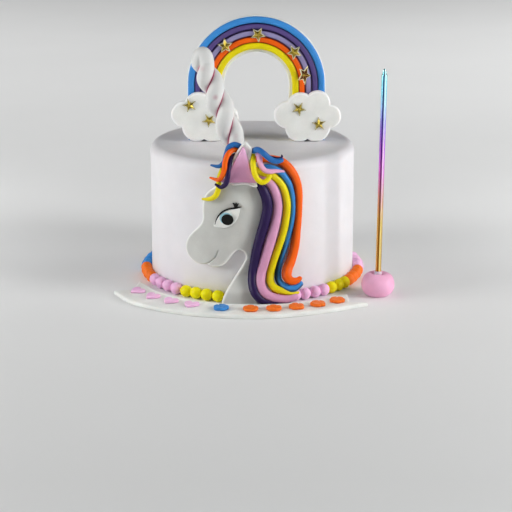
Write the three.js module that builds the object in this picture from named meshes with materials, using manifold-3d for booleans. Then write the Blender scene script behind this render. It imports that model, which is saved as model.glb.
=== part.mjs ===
// A birthday cake with a unicorn on its side, a rainbow on top and one long candle.
// Millimetres. The origin is the centre of the cake's bottom, +Z is up and the front faces -Y.
// Everything on the cake's side is laid out on the unrolled wall: s runs round the wall
// (millimetres at the cake's radius, 0 at the front), z runs up and r is the distance from the axis.

import * as THREE from 'three';
import Module from 'manifold-3d';

const wasm = await Module();
wasm.setup();

// ---------------------------------------------------------------- driving dimensions

const GAP = 0.3; // between pieces that touch

const CAKE = { radius: 82, height: 109.5, edge: 7 };
const TOP = CAKE.height + GAP;

const BEAD = { radius: 4.4, pitchDeg: 6, firstDeg: -37.5, neck: 1.2, flattening: 0.72 };
BEAD.ring = CAKE.radius + GAP + BEAD.radius;

// The bead border, run by run, to the right of the front; first counts beads from firstDeg.
const BEAD_RUNS = [
  { name: 'beads_front_yellow', colour: 'yellow', first: 0, count: 4 },
  { name: 'beads_front_hidden', colour: 'blue', first: 4, count: 6 },
  { name: 'beads_right_pink', colour: 'pink', first: 10, count: 4 },
  { name: 'beads_right_yellow', colour: 'yellow', first: 14, count: 3 },
  { name: 'beads_right_orange', colour: 'orange', first: 17, count: 4 },
  { name: 'beads_right_far_pink', colour: 'pink', first: 21, count: 4 },
  { name: 'beads_back', colour: 'yellow', first: 25, count: 23 },
  { name: 'beads_left_blue', colour: 'blue', first: 48, count: 4 },
  { name: 'beads_left_orange', colour: 'orange', first: 52, count: 4 },
  { name: 'beads_left_pink', colour: 'pink', first: 56, count: 4 },
];

const RAINBOW = {
  centreX: 3.3,
  centreZ: 154.5,
  outerRadius: 54.6,
  bandPitch: 5.2,
  bandDepth: 4.5,
  bandFrontY: 0.3,
  backDepth: 3,
  backInnerRadius: 25.8,
  backRim: 0.6,
};
RAINBOW.backFrontY = RAINBOW.bandFrontY + RAINBOW.bandDepth + GAP;
const BANDS = ['blue', 'purple', 'lilac', 'orange', 'yellow']; // from the outside in

// A cloud is six round lobes [x, z, radius] about its middle.
const CLOUD = {
  thickness: 6,
  rounding: 1.6,
  bottom: -20,
  frontY: -6.2,
  lobes: [[17, 0.5, 9.7], [8, 11, 10], [-5.5, 7.8, 11.6], [-16, 1.3, 11], [-6, -8.4, 12.1], [6, -8.4, 12.1]],
};
const CLOUDS = [
  { name: 'cloud_left', x: -37.6, tilt: -0.05 },
  { name: 'cloud_right', x: 44.3, tilt: 0 },
];

const STAR = { radius: 5.7, waist: 0.45, rim: 0.5, height: 2.3 };
// Stars by the height of their middle, spin in degrees, and what they sit on.
const STARS = [
  { name: 'star_rainbow_1', x: -21.4, z: 186, spin: 6, y: RAINBOW.bandFrontY - GAP },
  { name: 'star_rainbow_2', x: 4.6, z: 195, spin: 42, y: RAINBOW.bandFrontY - GAP },
  { name: 'star_rainbow_3', x: 33.4, z: 181, spin: 28, y: RAINBOW.bandFrontY - GAP },
  { name: 'star_rainbow_4', x: 41.6, z: 163.6, spin: 30, y: -5.6, turn: -134, scale: 1.22 },
  { name: 'star_cloud_1', x: -50.4, z: 140.2, spin: 17, y: CLOUD.frontY - GAP },
  { name: 'star_cloud_2', x: -34.4, z: 127.4, spin: 30, y: CLOUD.frontY - GAP },
  { name: 'star_cloud_3', x: 37.2, z: 136.7, spin: 43, y: CLOUD.frontY - GAP },
  { name: 'star_cloud_4', x: 53, z: 125.2, spin: 6, y: CLOUD.frontY - GAP },
];

// The horn is one rope folded and twisted into two strands. It leans to the left, more and more
// towards the top, and its twist (in half turns) tightens upward too.
const HORN = {
  y: -70,
  top: 197.4,
  strandRadius: 6.9,
  strandOffset: 3.7,
  thickestZ: 150,
  thinning: 0.0001,
  bendZ: 122,
  bendX: -13.6,
  lean: 0.303,
  leanGrowth: 0.00121,
  straightAbove: 187,
  twistStart: 0.621,
  twistPerMm: 0.0352,
  twistGrowth: 0.000273,
  capHeight: 10,
  rows: 24,
  rowCrowding: 1.25, // above 1 the rows stand closer together towards the top
  sides: 16,
};

const HEAD = { thickness: 6, wallRadius: CAKE.radius + GAP, beadRadius: BEAD.ring + BEAD.radius + GAP };

// Where the head bends out from the wall to pass over the beads.
const BEND = { top: 24, bottom: 10 };

// The unicorn's outline as stretches of smooth curve [s, z] on the unrolled wall.
const HEAD_OUTLINE = {
  throat: [[-20.9, GAP], [-18.7, 8.5], [-14.2, 18.8], [-9.9, 25.5], [-5.9, 33], [-4.9, 37], [-6.6, 40.6],
    [-9.6, 42.2], [-13, 40.3], [-16.6, 35.4], [-20.6, 30.8], [-25, 28.4], [-29.8, 28.1], [-33.8, 29.6]],
  muzzle: [[-33.8, 29.6], [-39.4, 28.9], [-45.6, 30.9], [-50.3, 35.3], [-51.9, 41.5], [-49.9, 48.6],
    [-45.4, 54.5], [-40, 59.8], [-37.3, 64.4], [-37, 73], [-36.3, 80.5], [-33.6, 86.4], [-27.8, 91.5],
    [-21.2, 94.9], [-13, 96.7], [-4, 96.7], [0.8, 95.4]],
  back: [[0.8, 95.4], [3.6, 90.4], [6.8, 83.6], [7.9, 76], [6.9, 70], [4.2, 61], [1.2, 51], [-1.5, 41],
    [-3.4, 29.5], [-4.2, 20], [-3, 12], [0.4, 5], [2, GAP]],
};

const EYE = {
  rise: 1.1,
  white: [[-27.4, 61.4], [-25, 67.4], [-21.6, 71.6], [-17, 74.6], [-12.6, 76.1], [-8.9, 76.4], [-9.3, 71],
    [-11.4, 66.4], [-14.6, 62.8], [-18.4, 60.9], [-22.8, 60.5]],
  iris: { s: -17.5, z: 69, radius: 5 },
  pupil: { s: -16.9, z: 67.9, radius: 4.3 },
};

const EAR = {
  innerRadius: 88.9,
  outer: [[-14.2, 95.5], [-14, 104], [-13.2, 112], [-12.5, 117], [-9.8, 122.2], [-4.4, 129], [-1.8, 126],
    [0, 123.4], [-0.8, 116], [-0.6, 108], [1.2, 101], [3.6, 93.8], [-4.8, 95.5]],
  outerThickness: 2,
  inner: [[-17.4, 98], [-14.6, 104.6], [-11.4, 112.6], [-8, 120.4], [-5.6, 125.1], [-4, 119.7], [-2, 112.8],
    [-0.3, 106.6], [1.4, 101.2], [3.4, 98], [-6, 97.8]],
  innerThickness: 2.1,
};

// Locks of hair as routes [s, z, r, diameter]. The mane lies on the cake's wall behind the head.
const MANE = {
  mane_purple: { colour: 'purple', route: [
    [6.2, 94, 85.6, 5], [8.9, 90.2, 86.1, 7], [11.8, 83, 86.2, 7.5], [12.4, 75, 86.2, 7.5],
    [10.5, 65, 86.1, 7.3], [7.6, 55, 86, 7.2], [4.9, 46, 86, 7.2], [2.1, 33.2, 86, 7.1], [0.4, 24.5, 86.6, 7],
    [-0.1, 17, 90.4, 6.8], [1.8, 10.2, 95.2, 6.2], [5.6, 4.4, 95.6, 5], [11, 2.3, 95.8, 3.4],
    [17, 1.5, 96, 2.2], [26, 1.3, 96.2, 1.4],
  ] },
  mane_pink: { colour: 'pink', route: [
    [10.2, 98.8, 85.4, 4.6], [13.8, 95.4, 85.6, 6], [17.2, 89.6, 85.7, 6.6], [19.8, 80, 85.7, 6.6],
    [19.6, 72, 85.8, 6.8], [18.2, 64.6, 86, 7.1], [15.7, 55.3, 86.3, 7.6], [12.9, 45.9, 86.3, 7.7],
    [9.8, 33.8, 86.2, 7.4], [7.9, 25, 86.8, 7.3], [7.1, 17.6, 90.6, 7.2], [9, 11.6, 94.6, 6.8],
    [14.6, 7.2, 95.4, 6.3], [24.6, 5, 95.2, 6], [31.4, 7, 95.2, 4.8],
  ] },
  mane_yellow: { colour: 'yellow', route: [
    [11.6, 103.8, 84.6, 4.2], [15.6, 101.2, 84.9, 4.8], [20.8, 95.6, 85.2, 5.2], [24.2, 89.3, 85.2, 5.3],
    [26.5, 80, 85.2, 5.3], [26.4, 70.1, 85.2, 5.3], [24.5, 57.5, 85.2, 5.3], [21, 45.1, 85.2, 5.4],
    [16.9, 32.5, 85.2, 5.3], [14.8, 24, 86.2, 5.3], [14.4, 18, 89.2, 5.3], [16.6, 14, 93, 5.2],
    [24.6, 10.7, 94.8, 4.7], [32, 11.4, 94.8, 2.6],
  ] },
  mane_blue: { colour: 'blue', route: [
    [8.6, 107.6, 83.6, 3.6], [15.4, 107.2, 84.2, 4.6], [20.9, 104.2, 84.6, 4.8], [27.4, 95.2, 84.8, 4.4],
    [30.2, 88, 84.5, 4], [31.7, 78, 84.3, 3.7], [31.8, 69.3, 84.3, 3.7], [29.9, 56.8, 84.4, 4],
    [26.7, 44.4, 84.7, 4.6], [22.6, 32, 84.9, 4.8], [20.3, 24, 86.2, 4.8], [20, 18.6, 89.6, 4.8],
    [23.6, 15.9, 93.2, 4.7], [29.4, 15.3, 95, 4.5], [34.6, 17.6, 94.6, 4],
  ] },
  mane_orange: { colour: 'orange', route: [
    [8.5, 112.2, 80.2, 4.4], [15.4, 113, 81.6, 5.6], [21.8, 111.4, 83.4, 6.4], [26.6, 107.6, 85.2, 6.6],
    [31.2, 101.3, 86, 6.6], [34.3, 94, 86, 6.4], [36, 85, 85.8, 6], [36.4, 75.4, 85.4, 5.2],
    [36.1, 65, 85.3, 5.1], [35.2, 56.4, 85.6, 5.6], [33.4, 45, 86.4, 6.8], [30.4, 34, 87, 7.6],
    [27.9, 27.6, 89, 7.8], [26.6, 23.4, 93.2, 7], [28.6, 20.9, 96.2, 5.8], [32.2, 20.8, 97, 4.6],
    [35.4, 22.2, 97, 3],
  ] },
};

// The short locks hang over the head and over the top of the mane.
const SHORT_LOCKS = {
  forelock_blue: { colour: 'blue', route: [
    [-5.4, 120.4, 86, 3.4], [-8, 125, 86.8, 3.9], [-11.8, 127.2, 88.6, 4], [-16.2, 125.6, 90.2, 4],
    [-19, 119, 91, 3.9], [-20.9, 112.8, 91.8, 3.7], [-23.4, 109.6, 92.2, 3.1], [-28.1, 109.8, 92, 1.4],
  ] },
  forelock_orange: { colour: 'orange', route: [
    [-7, 115.8, 85.8, 3.4], [-10.8, 120.2, 86.2, 3.6], [-14, 121.2, 89.8, 3.7], [-16.4, 118.8, 94.2, 3.8],
    [-18, 114, 95.6, 3.9], [-18.6, 108.2, 95.6, 3.9], [-20.2, 102.9, 95.6, 3.9], [-23, 99.9, 95.2, 3.3],
    [-28.6, 100.9, 94, 1.4],
  ] },
  forelock_purple: { colour: 'purple', route: [
    [-9.4, 111.4, 85.8, 3.2], [-13.4, 115.4, 86.6, 3.4], [-15.8, 115.2, 90, 3.4], [-16, 111.4, 92, 3.5],
    [-15.6, 106.2, 94.6, 3.6], [-15.6, 100.8, 95.6, 3.7], [-17.4, 96.2, 95.5, 3.7], [-20.6, 94.2, 95.2, 3],
    [-24, 96, 95.2, 1.8],
  ] },
  forelock_yellow: { colour: 'yellow', route: [
    [-21.4, 106.2, 87, 3.4], [-22.4, 101.6, 89.6, 4], [-22.8, 97.4, 91, 4.2], [-23.2, 92.4, 91, 4.2],
    [-24.5, 87.4, 91, 4.2], [-27.2, 84.2, 91, 3.8], [-30.8, 82.8, 91, 3], [-35.2, 82.4, 91, 1.6],
  ] },
  top_lock_blue: { colour: 'blue', route: [
    [-3.6, 117.6, 85.6, 3.4], [0.2, 121.2, 85.8, 3.8], [2.9, 123.8, 89.4, 4.2], [5.2, 124.2, 93.2, 4.3],
    [7.4, 122.4, 95, 4.3], [10.3, 118.8, 95, 4.3], [13.6, 115.7, 95, 4.3], [17, 114.7, 95, 4.1],
    [20.5, 115.4, 94.8, 3.5],
  ] },
  top_lock_pink: { colour: 'pink', route: [
    [4.6, 118, 87, 3.2], [4.6, 115, 90.4, 3.6], [5, 112, 92.6, 3.8], [6.8, 108.9, 93.4, 3.8],
    [9.2, 107, 93.6, 3.8], [12.4, 106.4, 93.8, 3.6], [16.4, 106.6, 93.8, 2.8], [21.6, 105.9, 93.6, 1.4],
  ] },
  top_lock_yellow: { colour: 'yellow', route: [
    [0.6, 116.6, 86.8, 3], [0.9, 113.6, 90.6, 3.8], [1, 110.4, 94.4, 4.1], [1.9, 105.2, 95.8, 4.1],
    [4.1, 100.6, 95.9, 4.1], [6.8, 98.7, 95.8, 4.1], [9.8, 100.1, 95.4, 3.9], [11.8, 103, 94, 3.4],
  ] },
};

// How many sides a lock has, and how long its straight stretches are.
const LOCK_FINENESS = {
  mane: { sides: 8, stepLength: 6.5 },
  short: { sides: 6, stepLength: 3.2 },
};

// The banner lies in front of the cake: a strip between two edges [degrees from the front, distance
// from the cake's axis], with a swallow-tail at each end.
const BANNER = {
  thickness: 3.6,
  backEdge: [[-67, 98], [-44, 98.6], [-15, 99.6], [15, 100], [35, 101.4], [45.5, 104.4]],
  frontEdge: [[-59.5, 126], [-45, 129], [-22, 126.6], [5, 125], [28, 124.6], [43.5, 129.6]],
  leftNotch: [-57, 111.5],
  rightNotch: [39, 119],
};

const ORNAMENT = { ringRadius: 113, size: 6, thickness: 2 };
// Small ornaments on the banner, by their angle from the front.
const ORNAMENTS = [
  { name: 'heart_1', kind: 'heart', colour: 'pink', deg: -53 },
  { name: 'heart_2', kind: 'heart', colour: 'pink', deg: -43.5 },
  { name: 'heart_3', kind: 'heart', colour: 'pink', deg: -34 },
  { name: 'heart_4', kind: 'heart', colour: 'pink', deg: -24.5 },
  { name: 'blossom_blue', kind: 'blossom', colour: 'blue', deg: -12 },
  { name: 'blossom_1', kind: 'blossom', colour: 'orange', deg: -0.5 },
  { name: 'blossom_2', kind: 'blossom', colour: 'orange', deg: 8.5 },
  { name: 'blossom_3', kind: 'blossom', colour: 'orange', deg: 17.5 },
  { name: 'blossom_4', kind: 'blossom', colour: 'orange', deg: 26.5 },
  { name: 'blossom_5', kind: 'blossom', colour: 'orange', deg: 35.5 },
];

// The candle stands in a small cup on a ball of icing beside the cake and leans a little to the right.
const CANDLE = {
  x: 98.7,
  y: -64.6,
  ballRadius: 13.1,
  ballHeight: 18.2,
  dimpleRadius: 4.6,
  dimpleDepth: 2.4,
  cupRadius: 2.9,
  cupHeight: 3.6,
  cupBore: 2.6,
  cupFloor: 0.8,
  radius: 2.25,
  shoulder: 174.6,
  tipRadius: 1.5,
  top: 179.6,
  lean: 0.0105,
};
// The ball of icing as [share of its radius, share of its height].
const BALL_PROFILE = [[0, 0], [0.62, 0], [0.88, 0.16], [1, 0.46], [0.9, 0.78], [0.62, 0.97]];

const COLOURS = {
  white: 0xf2eff0, grey: 0xc9cac4, pink: 0xe79fce, blue: 0x2f7cc4, purple: 0x49307a, lilac: 0x9b8fc0,
  orange: 0xf2622a, yellow: 0xe3d61f, gold: 0xc9a544, black: 0x15120f, sky: 0x9fd0e6,
};

// ---------------------------------------------------------------- shape helpers

function smoothstep(edge0, edge1, value) {
  const t = THREE.MathUtils.clamp((value - edge0) / (edge1 - edge0), 0, 1);
  return t * t * (3 - 2 * t);
}

function wallPoint(s, z, r) {
  const angle = s / CAKE.radius;
  return new THREE.Vector3(r * Math.sin(angle), -r * Math.cos(angle), z);
}

// Indexed triangles with all faces turned outward.
function closedGeometry(vertices, triangles) {
  let volume = 0;
  for (const [a, b, c] of triangles) {
    volume += vertices[a].dot(new THREE.Vector3().crossVectors(vertices[b], vertices[c]));
  }
  const indices = volume > 0 ? triangles : triangles.map(([a, b, c]) => [a, c, b]);
  const geometry = new THREE.BufferGeometry();
  geometry.setFromPoints(vertices);
  geometry.setIndex(indices.flat());
  geometry.computeVertexNormals();
  return geometry;
}

// Closed sweep: each sample is a point, the side that faces out, and the half width and depth there.
// A section is a ring of [across, outward] factors. cap pushes each end's middle past its last ring.
function sweep(samples, section, cap = 0) {
  const vertices = [];
  const triangles = [];
  const sides = section.length;
  const tangents = samples.map((sample, i) => {
    const before = samples[Math.max(i - 1, 0)].point;
    const after = samples[Math.min(i + 1, samples.length - 1)].point;
    return after.clone().sub(before).normalize();
  });
  samples.forEach(({ point, out, width, depth }, i) => {
    const tangent = tangents[i];
    const outward = out.clone().addScaledVector(tangent, -out.dot(tangent)).normalize();
    const across = new THREE.Vector3().crossVectors(tangent, outward);
    for (const [u, v] of section) {
      vertices.push(point.clone().addScaledVector(across, u * width).addScaledVector(outward, v * depth));
    }
  });
  for (let ring = 0; ring < samples.length - 1; ring += 1) {
    for (let k = 0; k < sides; k += 1) {
      const a = ring * sides + k;
      const b = ring * sides + (k + 1) % sides;
      triangles.push([a, b, b + sides], [a, b + sides, a + sides]);
    }
  }
  for (const [end, direction] of [[0, -1], [samples.length - 1, 1]]) {
    const middle = vertices.length;
    vertices.push(samples[end].point.clone().addScaledVector(tangents[end], direction * cap));
    for (let k = 0; k < sides; k += 1) {
      const a = end * sides + k;
      const b = end * sides + (k + 1) % sides;
      triangles.push(direction < 0 ? [b, a, middle] : [a, b, middle]);
    }
  }
  return closedGeometry(vertices, triangles);
}

// A regular ring of corners at distance 1, or with its flats at distance 1.
function roundSection(sides, around = false) {
  const reach = around ? 1 / Math.cos(Math.PI / sides) : 1;
  const ring = [];
  for (let k = 0; k < sides; k += 1) {
    const angle = (2 * Math.PI * (k + 0.5)) / sides;
    ring.push([reach * Math.cos(angle), reach * Math.sin(angle)]);
  }
  return ring;
}

function shapeFromPoints(points) {
  return new THREE.Shape(points.map(([x, y]) => new THREE.Vector2(x, y)));
}

function smoothPoints(points, count, closed = false) {
  const curve = new THREE.CatmullRomCurve3(
    points.map(([x, y]) => new THREE.Vector3(x, y, 0)), closed, 'centripetal');
  const smooth = curve.getSpacedPoints(count).map((p) => [p.x, p.y]);
  smooth.pop();
  return smooth;
}

// ---------------------------------------------------------------- joining and cutting

function toSolid(geometry) {
  const mesh = new wasm.Mesh({
    numProp: 3,
    vertProperties: geometry.attributes.position.array,
    triVerts: new Uint32Array(geometry.index.array),
  });
  return new wasm.Manifold(mesh);
}

function fromSolid(solid) {
  const mesh = solid.getMesh();
  const geometry = new THREE.BufferGeometry();
  geometry.setAttribute('position', new THREE.BufferAttribute(new Float32Array(mesh.vertProperties), 3));
  geometry.setIndex(new THREE.BufferAttribute(new Uint32Array(mesh.triVerts), 1));
  geometry.computeVertexNormals();
  return geometry;
}

const RING_SEGMENTS = 84;
const CUTTER = { nearRadius: CAKE.radius - 20, farRadius: CAKE.radius + 40 }; // clear of every plate

// A plate on the wall: the part of a ring of the given profile that lies inside an outline [s, z].
function wallPlate(outline, innerProfile, outerProfile) {
  const ring = closedRing([...innerProfile, ...outerProfile.toReversed()]);
  const cutter = radialPrism(outline, CUTTER.nearRadius, CUTTER.farRadius);
  return fromSolid(toSolid(ring).intersect(toSolid(cutter)));
}

// A closed profile [r, z] turned all the way round the axis.
function closedRing(profile) {
  const vertices = [];
  const triangles = [];
  const count = profile.length;
  for (let turn = 0; turn < RING_SEGMENTS; turn += 1) {
    const s = (2 * Math.PI * CAKE.radius * turn) / RING_SEGMENTS;
    vertices.push(...profile.map(([r, z]) => wallPoint(s, z, r)));
    const here = turn * count;
    const there = ((turn + 1) % RING_SEGMENTS) * count;
    for (let k = 0; k < count; k += 1) {
      const next = (k + 1) % count;
      triangles.push([here + k, here + next, there + next], [here + k, there + next, there + k]);
    }
  }
  return closedGeometry(vertices, triangles);
}

// The outline pushed straight out from the axis, between two distances from it.
function radialPrism(outline, nearRadius, farRadius) {
  const count = outline.length;
  const corners = outline.map(([s, z]) => new THREE.Vector2(s, z));
  if (THREE.ShapeUtils.isClockWise(corners)) {
    corners.reverse();
  }
  const faces = THREE.ShapeUtils.triangulateShape(corners, []);
  const vertices = [
    ...corners.map((corner) => wallPoint(corner.x, corner.y, nearRadius)),
    ...corners.map((corner) => wallPoint(corner.x, corner.y, farRadius)),
  ];
  const triangles = [];
  for (const [a, b, c] of faces) {
    triangles.push([a, c, b], [a + count, b + count, c + count]);
  }
  for (let k = 0; k < count; k += 1) {
    const next = (k + 1) % count;
    triangles.push([k, next, next + count], [k, next + count, k + count]);
  }
  return closedGeometry(vertices, triangles);
}

function straightProfile(radius, bottom, top) {
  return [[radius, bottom], [radius, top]];
}

// The wall's own profile, bent outward near the floor to pass over the beads.
function bentProfile(extra, top) {
  const profile = [];
  const steps = 5;
  profile.push([HEAD.beadRadius + extra, 0]);
  for (let i = 0; i <= steps; i += 1) {
    const z = BEND.bottom + (BEND.top - BEND.bottom) * (i / steps);
    const blend = smoothstep(BEND.bottom, BEND.top, z);
    profile.push([THREE.MathUtils.lerp(HEAD.beadRadius, HEAD.wallRadius, blend) + extra, z]);
  }
  profile.push([HEAD.wallRadius + extra, top]);
  return profile;
}

// ---------------------------------------------------------------- the pieces

const cake = new THREE.Group();

function addPiece(name, geometry, colour, roughness = 0.6, metalness = 0) {
  const material = new THREE.MeshStandardMaterial({ color: COLOURS[colour], roughness, metalness });
  const mesh = new THREE.Mesh(geometry, material);
  mesh.name = name;
  cake.add(mesh);
  return mesh;
}

function cakeBody() {
  const { radius, height, edge } = CAKE;
  const profile = [new THREE.Vector2(0, 0), new THREE.Vector2(radius, 0)];
  const steps = 4;
  for (let i = 0; i <= steps; i += 1) {
    const angle = (Math.PI / 2) * (i / steps);
    const across = radius - edge + edge * Math.cos(angle);
    profile.push(new THREE.Vector2(across, height - edge + edge * Math.sin(angle)));
  }
  profile.push(new THREE.Vector2(0, height));
  const geometry = new THREE.LatheGeometry(profile, 72);
  geometry.rotateX(Math.PI / 2);
  addPiece('cake_body', geometry, 'white', 0.55);
}

function beadPoint(degrees) {
  const angle = THREE.MathUtils.degToRad(degrees);
  return new THREE.Vector3(BEAD.ring * Math.sin(angle), -BEAD.ring * Math.cos(angle), BEAD.radius);
}

// A run of balls joined by short necks, swept round the foot of the cake.
function beadRun({ name, colour, first, count }) {
  const up = new THREE.Vector3(0, 0, 1);
  const ballSpan = THREE.MathUtils.radToDeg(BEAD.radius / BEAD.ring);
  const { neck, flattening } = BEAD;
  const samples = [];
  for (let i = 0; i < count; i += 1) {
    const middle = BEAD.firstDeg + (first + i) * BEAD.pitchDeg;
    if (i > 0) {
      samples.push({ point: beadPoint(middle - BEAD.pitchDeg / 2), out: up, width: neck, depth: neck });
    }
    for (const along of [-flattening, 0, flattening]) {
      const size = BEAD.radius * Math.sqrt(1 - along * along);
      samples.push({ point: beadPoint(middle + along * ballSpan), out: up, width: size, depth: size });
    }
  }
  const sides = 8;
  addPiece(name, sweep(samples, roundSection(sides, true), BEAD.radius * (1 - flattening)), colour, 0.55);
}

// Route of an arch of the given radius: up one leg, over the half circle and down the other leg.
function archRoute(radius, y) {
  const { centreX, centreZ } = RAINBOW;
  const steps = 20;
  const samples = [];
  const addSample = (angle, z) => {
    const out = new THREE.Vector3(Math.cos(angle), 0, Math.sin(angle));
    samples.push({ point: new THREE.Vector3(centreX + radius * out.x, y, z), out });
  };
  addSample(Math.PI, TOP);
  for (let i = 0; i <= steps; i += 1) {
    const angle = Math.PI * (1 - i / steps);
    addSample(angle, centreZ + radius * Math.sin(angle));
  }
  addSample(0, TOP);
  return samples;
}

function rainbowBands() {
  const { outerRadius, bandPitch, bandDepth, bandFrontY } = RAINBOW;
  const width = (bandPitch - GAP) / 2;
  const chamfered = [[-1, -1], [-1, 1], [0.3, 1], [1, 0.62], [1, -0.62], [0.3, -1]];
  BANDS.forEach((colour, i) => {
    const radius = outerRadius - bandPitch * (i + 0.5);
    const route = archRoute(radius, bandFrontY + bandDepth / 2);
    const samples = route.map((sample) => ({ ...sample, width: bandDepth / 2, depth: width }));
    addPiece(`rainbow_${colour}`, sweep(samples, chamfered), colour, 0.6);
  });
}

function rainbowBacking() {
  const { centreX, centreZ, outerRadius, backInnerRadius, backRim, backDepth, backFrontY } = RAINBOW;
  const rim = outerRadius + backRim;
  const shape = new THREE.Shape();
  shape.moveTo(centreX + rim, TOP);
  shape.absarc(centreX, centreZ, rim, 0, Math.PI, false);
  shape.lineTo(centreX - rim, TOP);
  shape.lineTo(centreX - backInnerRadius, TOP);
  shape.absarc(centreX, centreZ, backInnerRadius, Math.PI, 0, true);
  shape.lineTo(centreX + backInnerRadius, TOP);
  const geometry = new THREE.ExtrudeGeometry(shape, {
    depth: backDepth,
    bevelEnabled: false,
    curveSegments: 24,
  });
  geometry.rotateX(Math.PI / 2);
  geometry.translate(0, backFrontY + backDepth, 0);
  addPiece('rainbow_backing', geometry, 'white', 0.6);
}

// The far side of the lobes in each direction from the cloud's middle.
function cloudOutline(count) {
  const outline = [];
  for (let k = 0; k < count; k += 1) {
    const angle = (2 * Math.PI * k) / count;
    const [dx, dz] = [Math.cos(angle), Math.sin(angle)];
    let reach = 0;
    for (const [x, z, radius] of CLOUD.lobes) {
      const along = x * dx + z * dz;
      const beside = x * dz - z * dx;
      if (Math.abs(beside) < radius) {
        reach = Math.max(reach, along + Math.sqrt(radius * radius - beside * beside));
      }
    }
    outline.push([reach * dx, reach * dz]);
  }
  return outline;
}

function cloudPiece({ name, x, tilt }) {
  const turned = cloudOutline(44).map(([u, v]) => {
    const z = u * Math.sin(tilt) + v * Math.cos(tilt);
    return [u * Math.cos(tilt) - v * Math.sin(tilt), Math.max(z, CLOUD.bottom)];
  });
  const geometry = new THREE.ExtrudeGeometry(shapeFromPoints(turned), {
    depth: CLOUD.thickness - 2 * CLOUD.rounding,
    bevelThickness: CLOUD.rounding,
    bevelSize: CLOUD.rounding,
    bevelOffset: -CLOUD.rounding,
    bevelSegments: 1,
  });
  geometry.rotateX(Math.PI / 2);
  geometry.translate(x, CLOUD.frontY + CLOUD.thickness - CLOUD.rounding, TOP - CLOUD.bottom);
  addPiece(name, geometry, 'white', 0.6);
}

// A five-pointed star with a raised middle; its flat back lies in the plane y = 0.
function starGeometry() {
  const vertices = [];
  const triangles = [];
  const points = 10;
  for (const y of [0, -STAR.rim]) {
    for (let k = 0; k < points; k += 1) {
      const radius = k % 2 === 0 ? STAR.radius : STAR.radius * STAR.waist;
      const angle = Math.PI / 2 + (2 * Math.PI * k) / points;
      vertices.push(new THREE.Vector3(radius * Math.cos(angle), y, radius * Math.sin(angle)));
    }
  }
  vertices.push(new THREE.Vector3(0, 0, 0), new THREE.Vector3(0, -STAR.height, 0));
  const [back, front] = [2 * points, 2 * points + 1];
  for (let k = 0; k < points; k += 1) {
    const next = (k + 1) % points;
    triangles.push([k, next, next + points], [k, next + points, k + points]);
    triangles.push([next, k, back], [k + points, next + points, front]);
  }
  return closedGeometry(vertices, triangles);
}

function starPiece({ name, x, z, spin, y, turn = 0, scale = 1 }) {
  const star = addPiece(name, starGeometry(), 'gold', 0.25, 1);
  star.rotation.set(0, -THREE.MathUtils.degToRad(spin), 0);
  const holder = new THREE.Group();
  holder.position.set(x, y, z);
  holder.rotation.z = THREE.MathUtils.degToRad(turn);
  holder.scale.setScalar(scale);
  holder.add(star);
  cake.add(holder);
}

// The horn's middle line leans further to the left the higher it goes.
function hornAxisX(z) {
  const rise = Math.min(z, HORN.straightAbove) - HORN.bendZ;
  return HORN.bendX - HORN.lean * rise - HORN.leanGrowth * rise * rise;
}

// The direction from one strand to the other; the rope is wound tighter towards its top.
function hornTwist(z) {
  const rise = z - HORN.bendZ;
  return Math.PI * (HORN.twistStart + HORN.twistPerMm * rise + HORN.twistGrowth * rise * rise);
}

// Two strands wound round the leaning middle line, as one column with a pinched section.
function hornPiece() {
  const { y, top, strandRadius, strandOffset, thickestZ, thinning, capHeight, sides, rows } = HORN;
  const vertices = [];
  const triangles = [];
  for (let row = 0; row < rows; row += 1) {
    const z = top - (top - TOP) * (1 - row / rows) ** HORN.rowCrowding;
    const slimming = 1 - thinning * (z - thickestZ) ** 2;
    const intoCap = 1 - Math.min((top - z) / capHeight, 1);
    const size = slimming * Math.sqrt(1 - intoCap ** 2);
    for (let k = 0; k < sides; k += 1) {
      const angle = (2 * Math.PI * k) / sides;
      const offAxis = angle - hornTwist(z);
      const reach = size * (strandOffset * Math.abs(Math.cos(offAxis))
        + Math.sqrt(strandRadius ** 2 - (strandOffset * Math.sin(offAxis)) ** 2));
      const across = hornAxisX(z) + reach * Math.cos(angle);
      vertices.push(new THREE.Vector3(across, y + reach * Math.sin(angle), z));
    }
  }
  const tip = vertices.length;
  vertices.push(new THREE.Vector3(hornAxisX(top), y, top));
  const base = vertices.length;
  vertices.push(new THREE.Vector3(hornAxisX(TOP), y, TOP));
  for (let k = 0; k < sides; k += 1) {
    const next = (k + 1) % sides;
    for (let row = 0; row < rows - 1; row += 1) {
      const [a, b] = [row * sides + k, row * sides + next];
      triangles.push([a, b, b + sides], [a, b + sides, a + sides]);
    }
    const last = (rows - 1) * sides;
    triangles.push([last + k, last + next, tip], [next, k, base]);
  }
  addPiece('horn', closedGeometry(vertices, triangles), 'white', 0.6);
}

function headPlate() {
  const outline = [
    ...smoothPoints(HEAD_OUTLINE.throat, 26),
    ...smoothPoints(HEAD_OUTLINE.muzzle, 30),
    ...smoothPoints(HEAD_OUTLINE.back, 16),
    HEAD_OUTLINE.back.at(-1),
  ];
  const above = CAKE.height;
  const geometry = wallPlate(outline, bentProfile(0, above), bentProfile(HEAD.thickness, above));
  addPiece('unicorn_head', geometry, 'grey', 0.6);
}

function circleOutline({ s, z, radius }, count) {
  const outline = [];
  for (let k = 0; k < count; k += 1) {
    const angle = (2 * Math.PI * k) / count;
    outline.push([s + radius * Math.cos(angle), z + radius * Math.sin(angle)]);
  }
  return outline;
}

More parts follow.
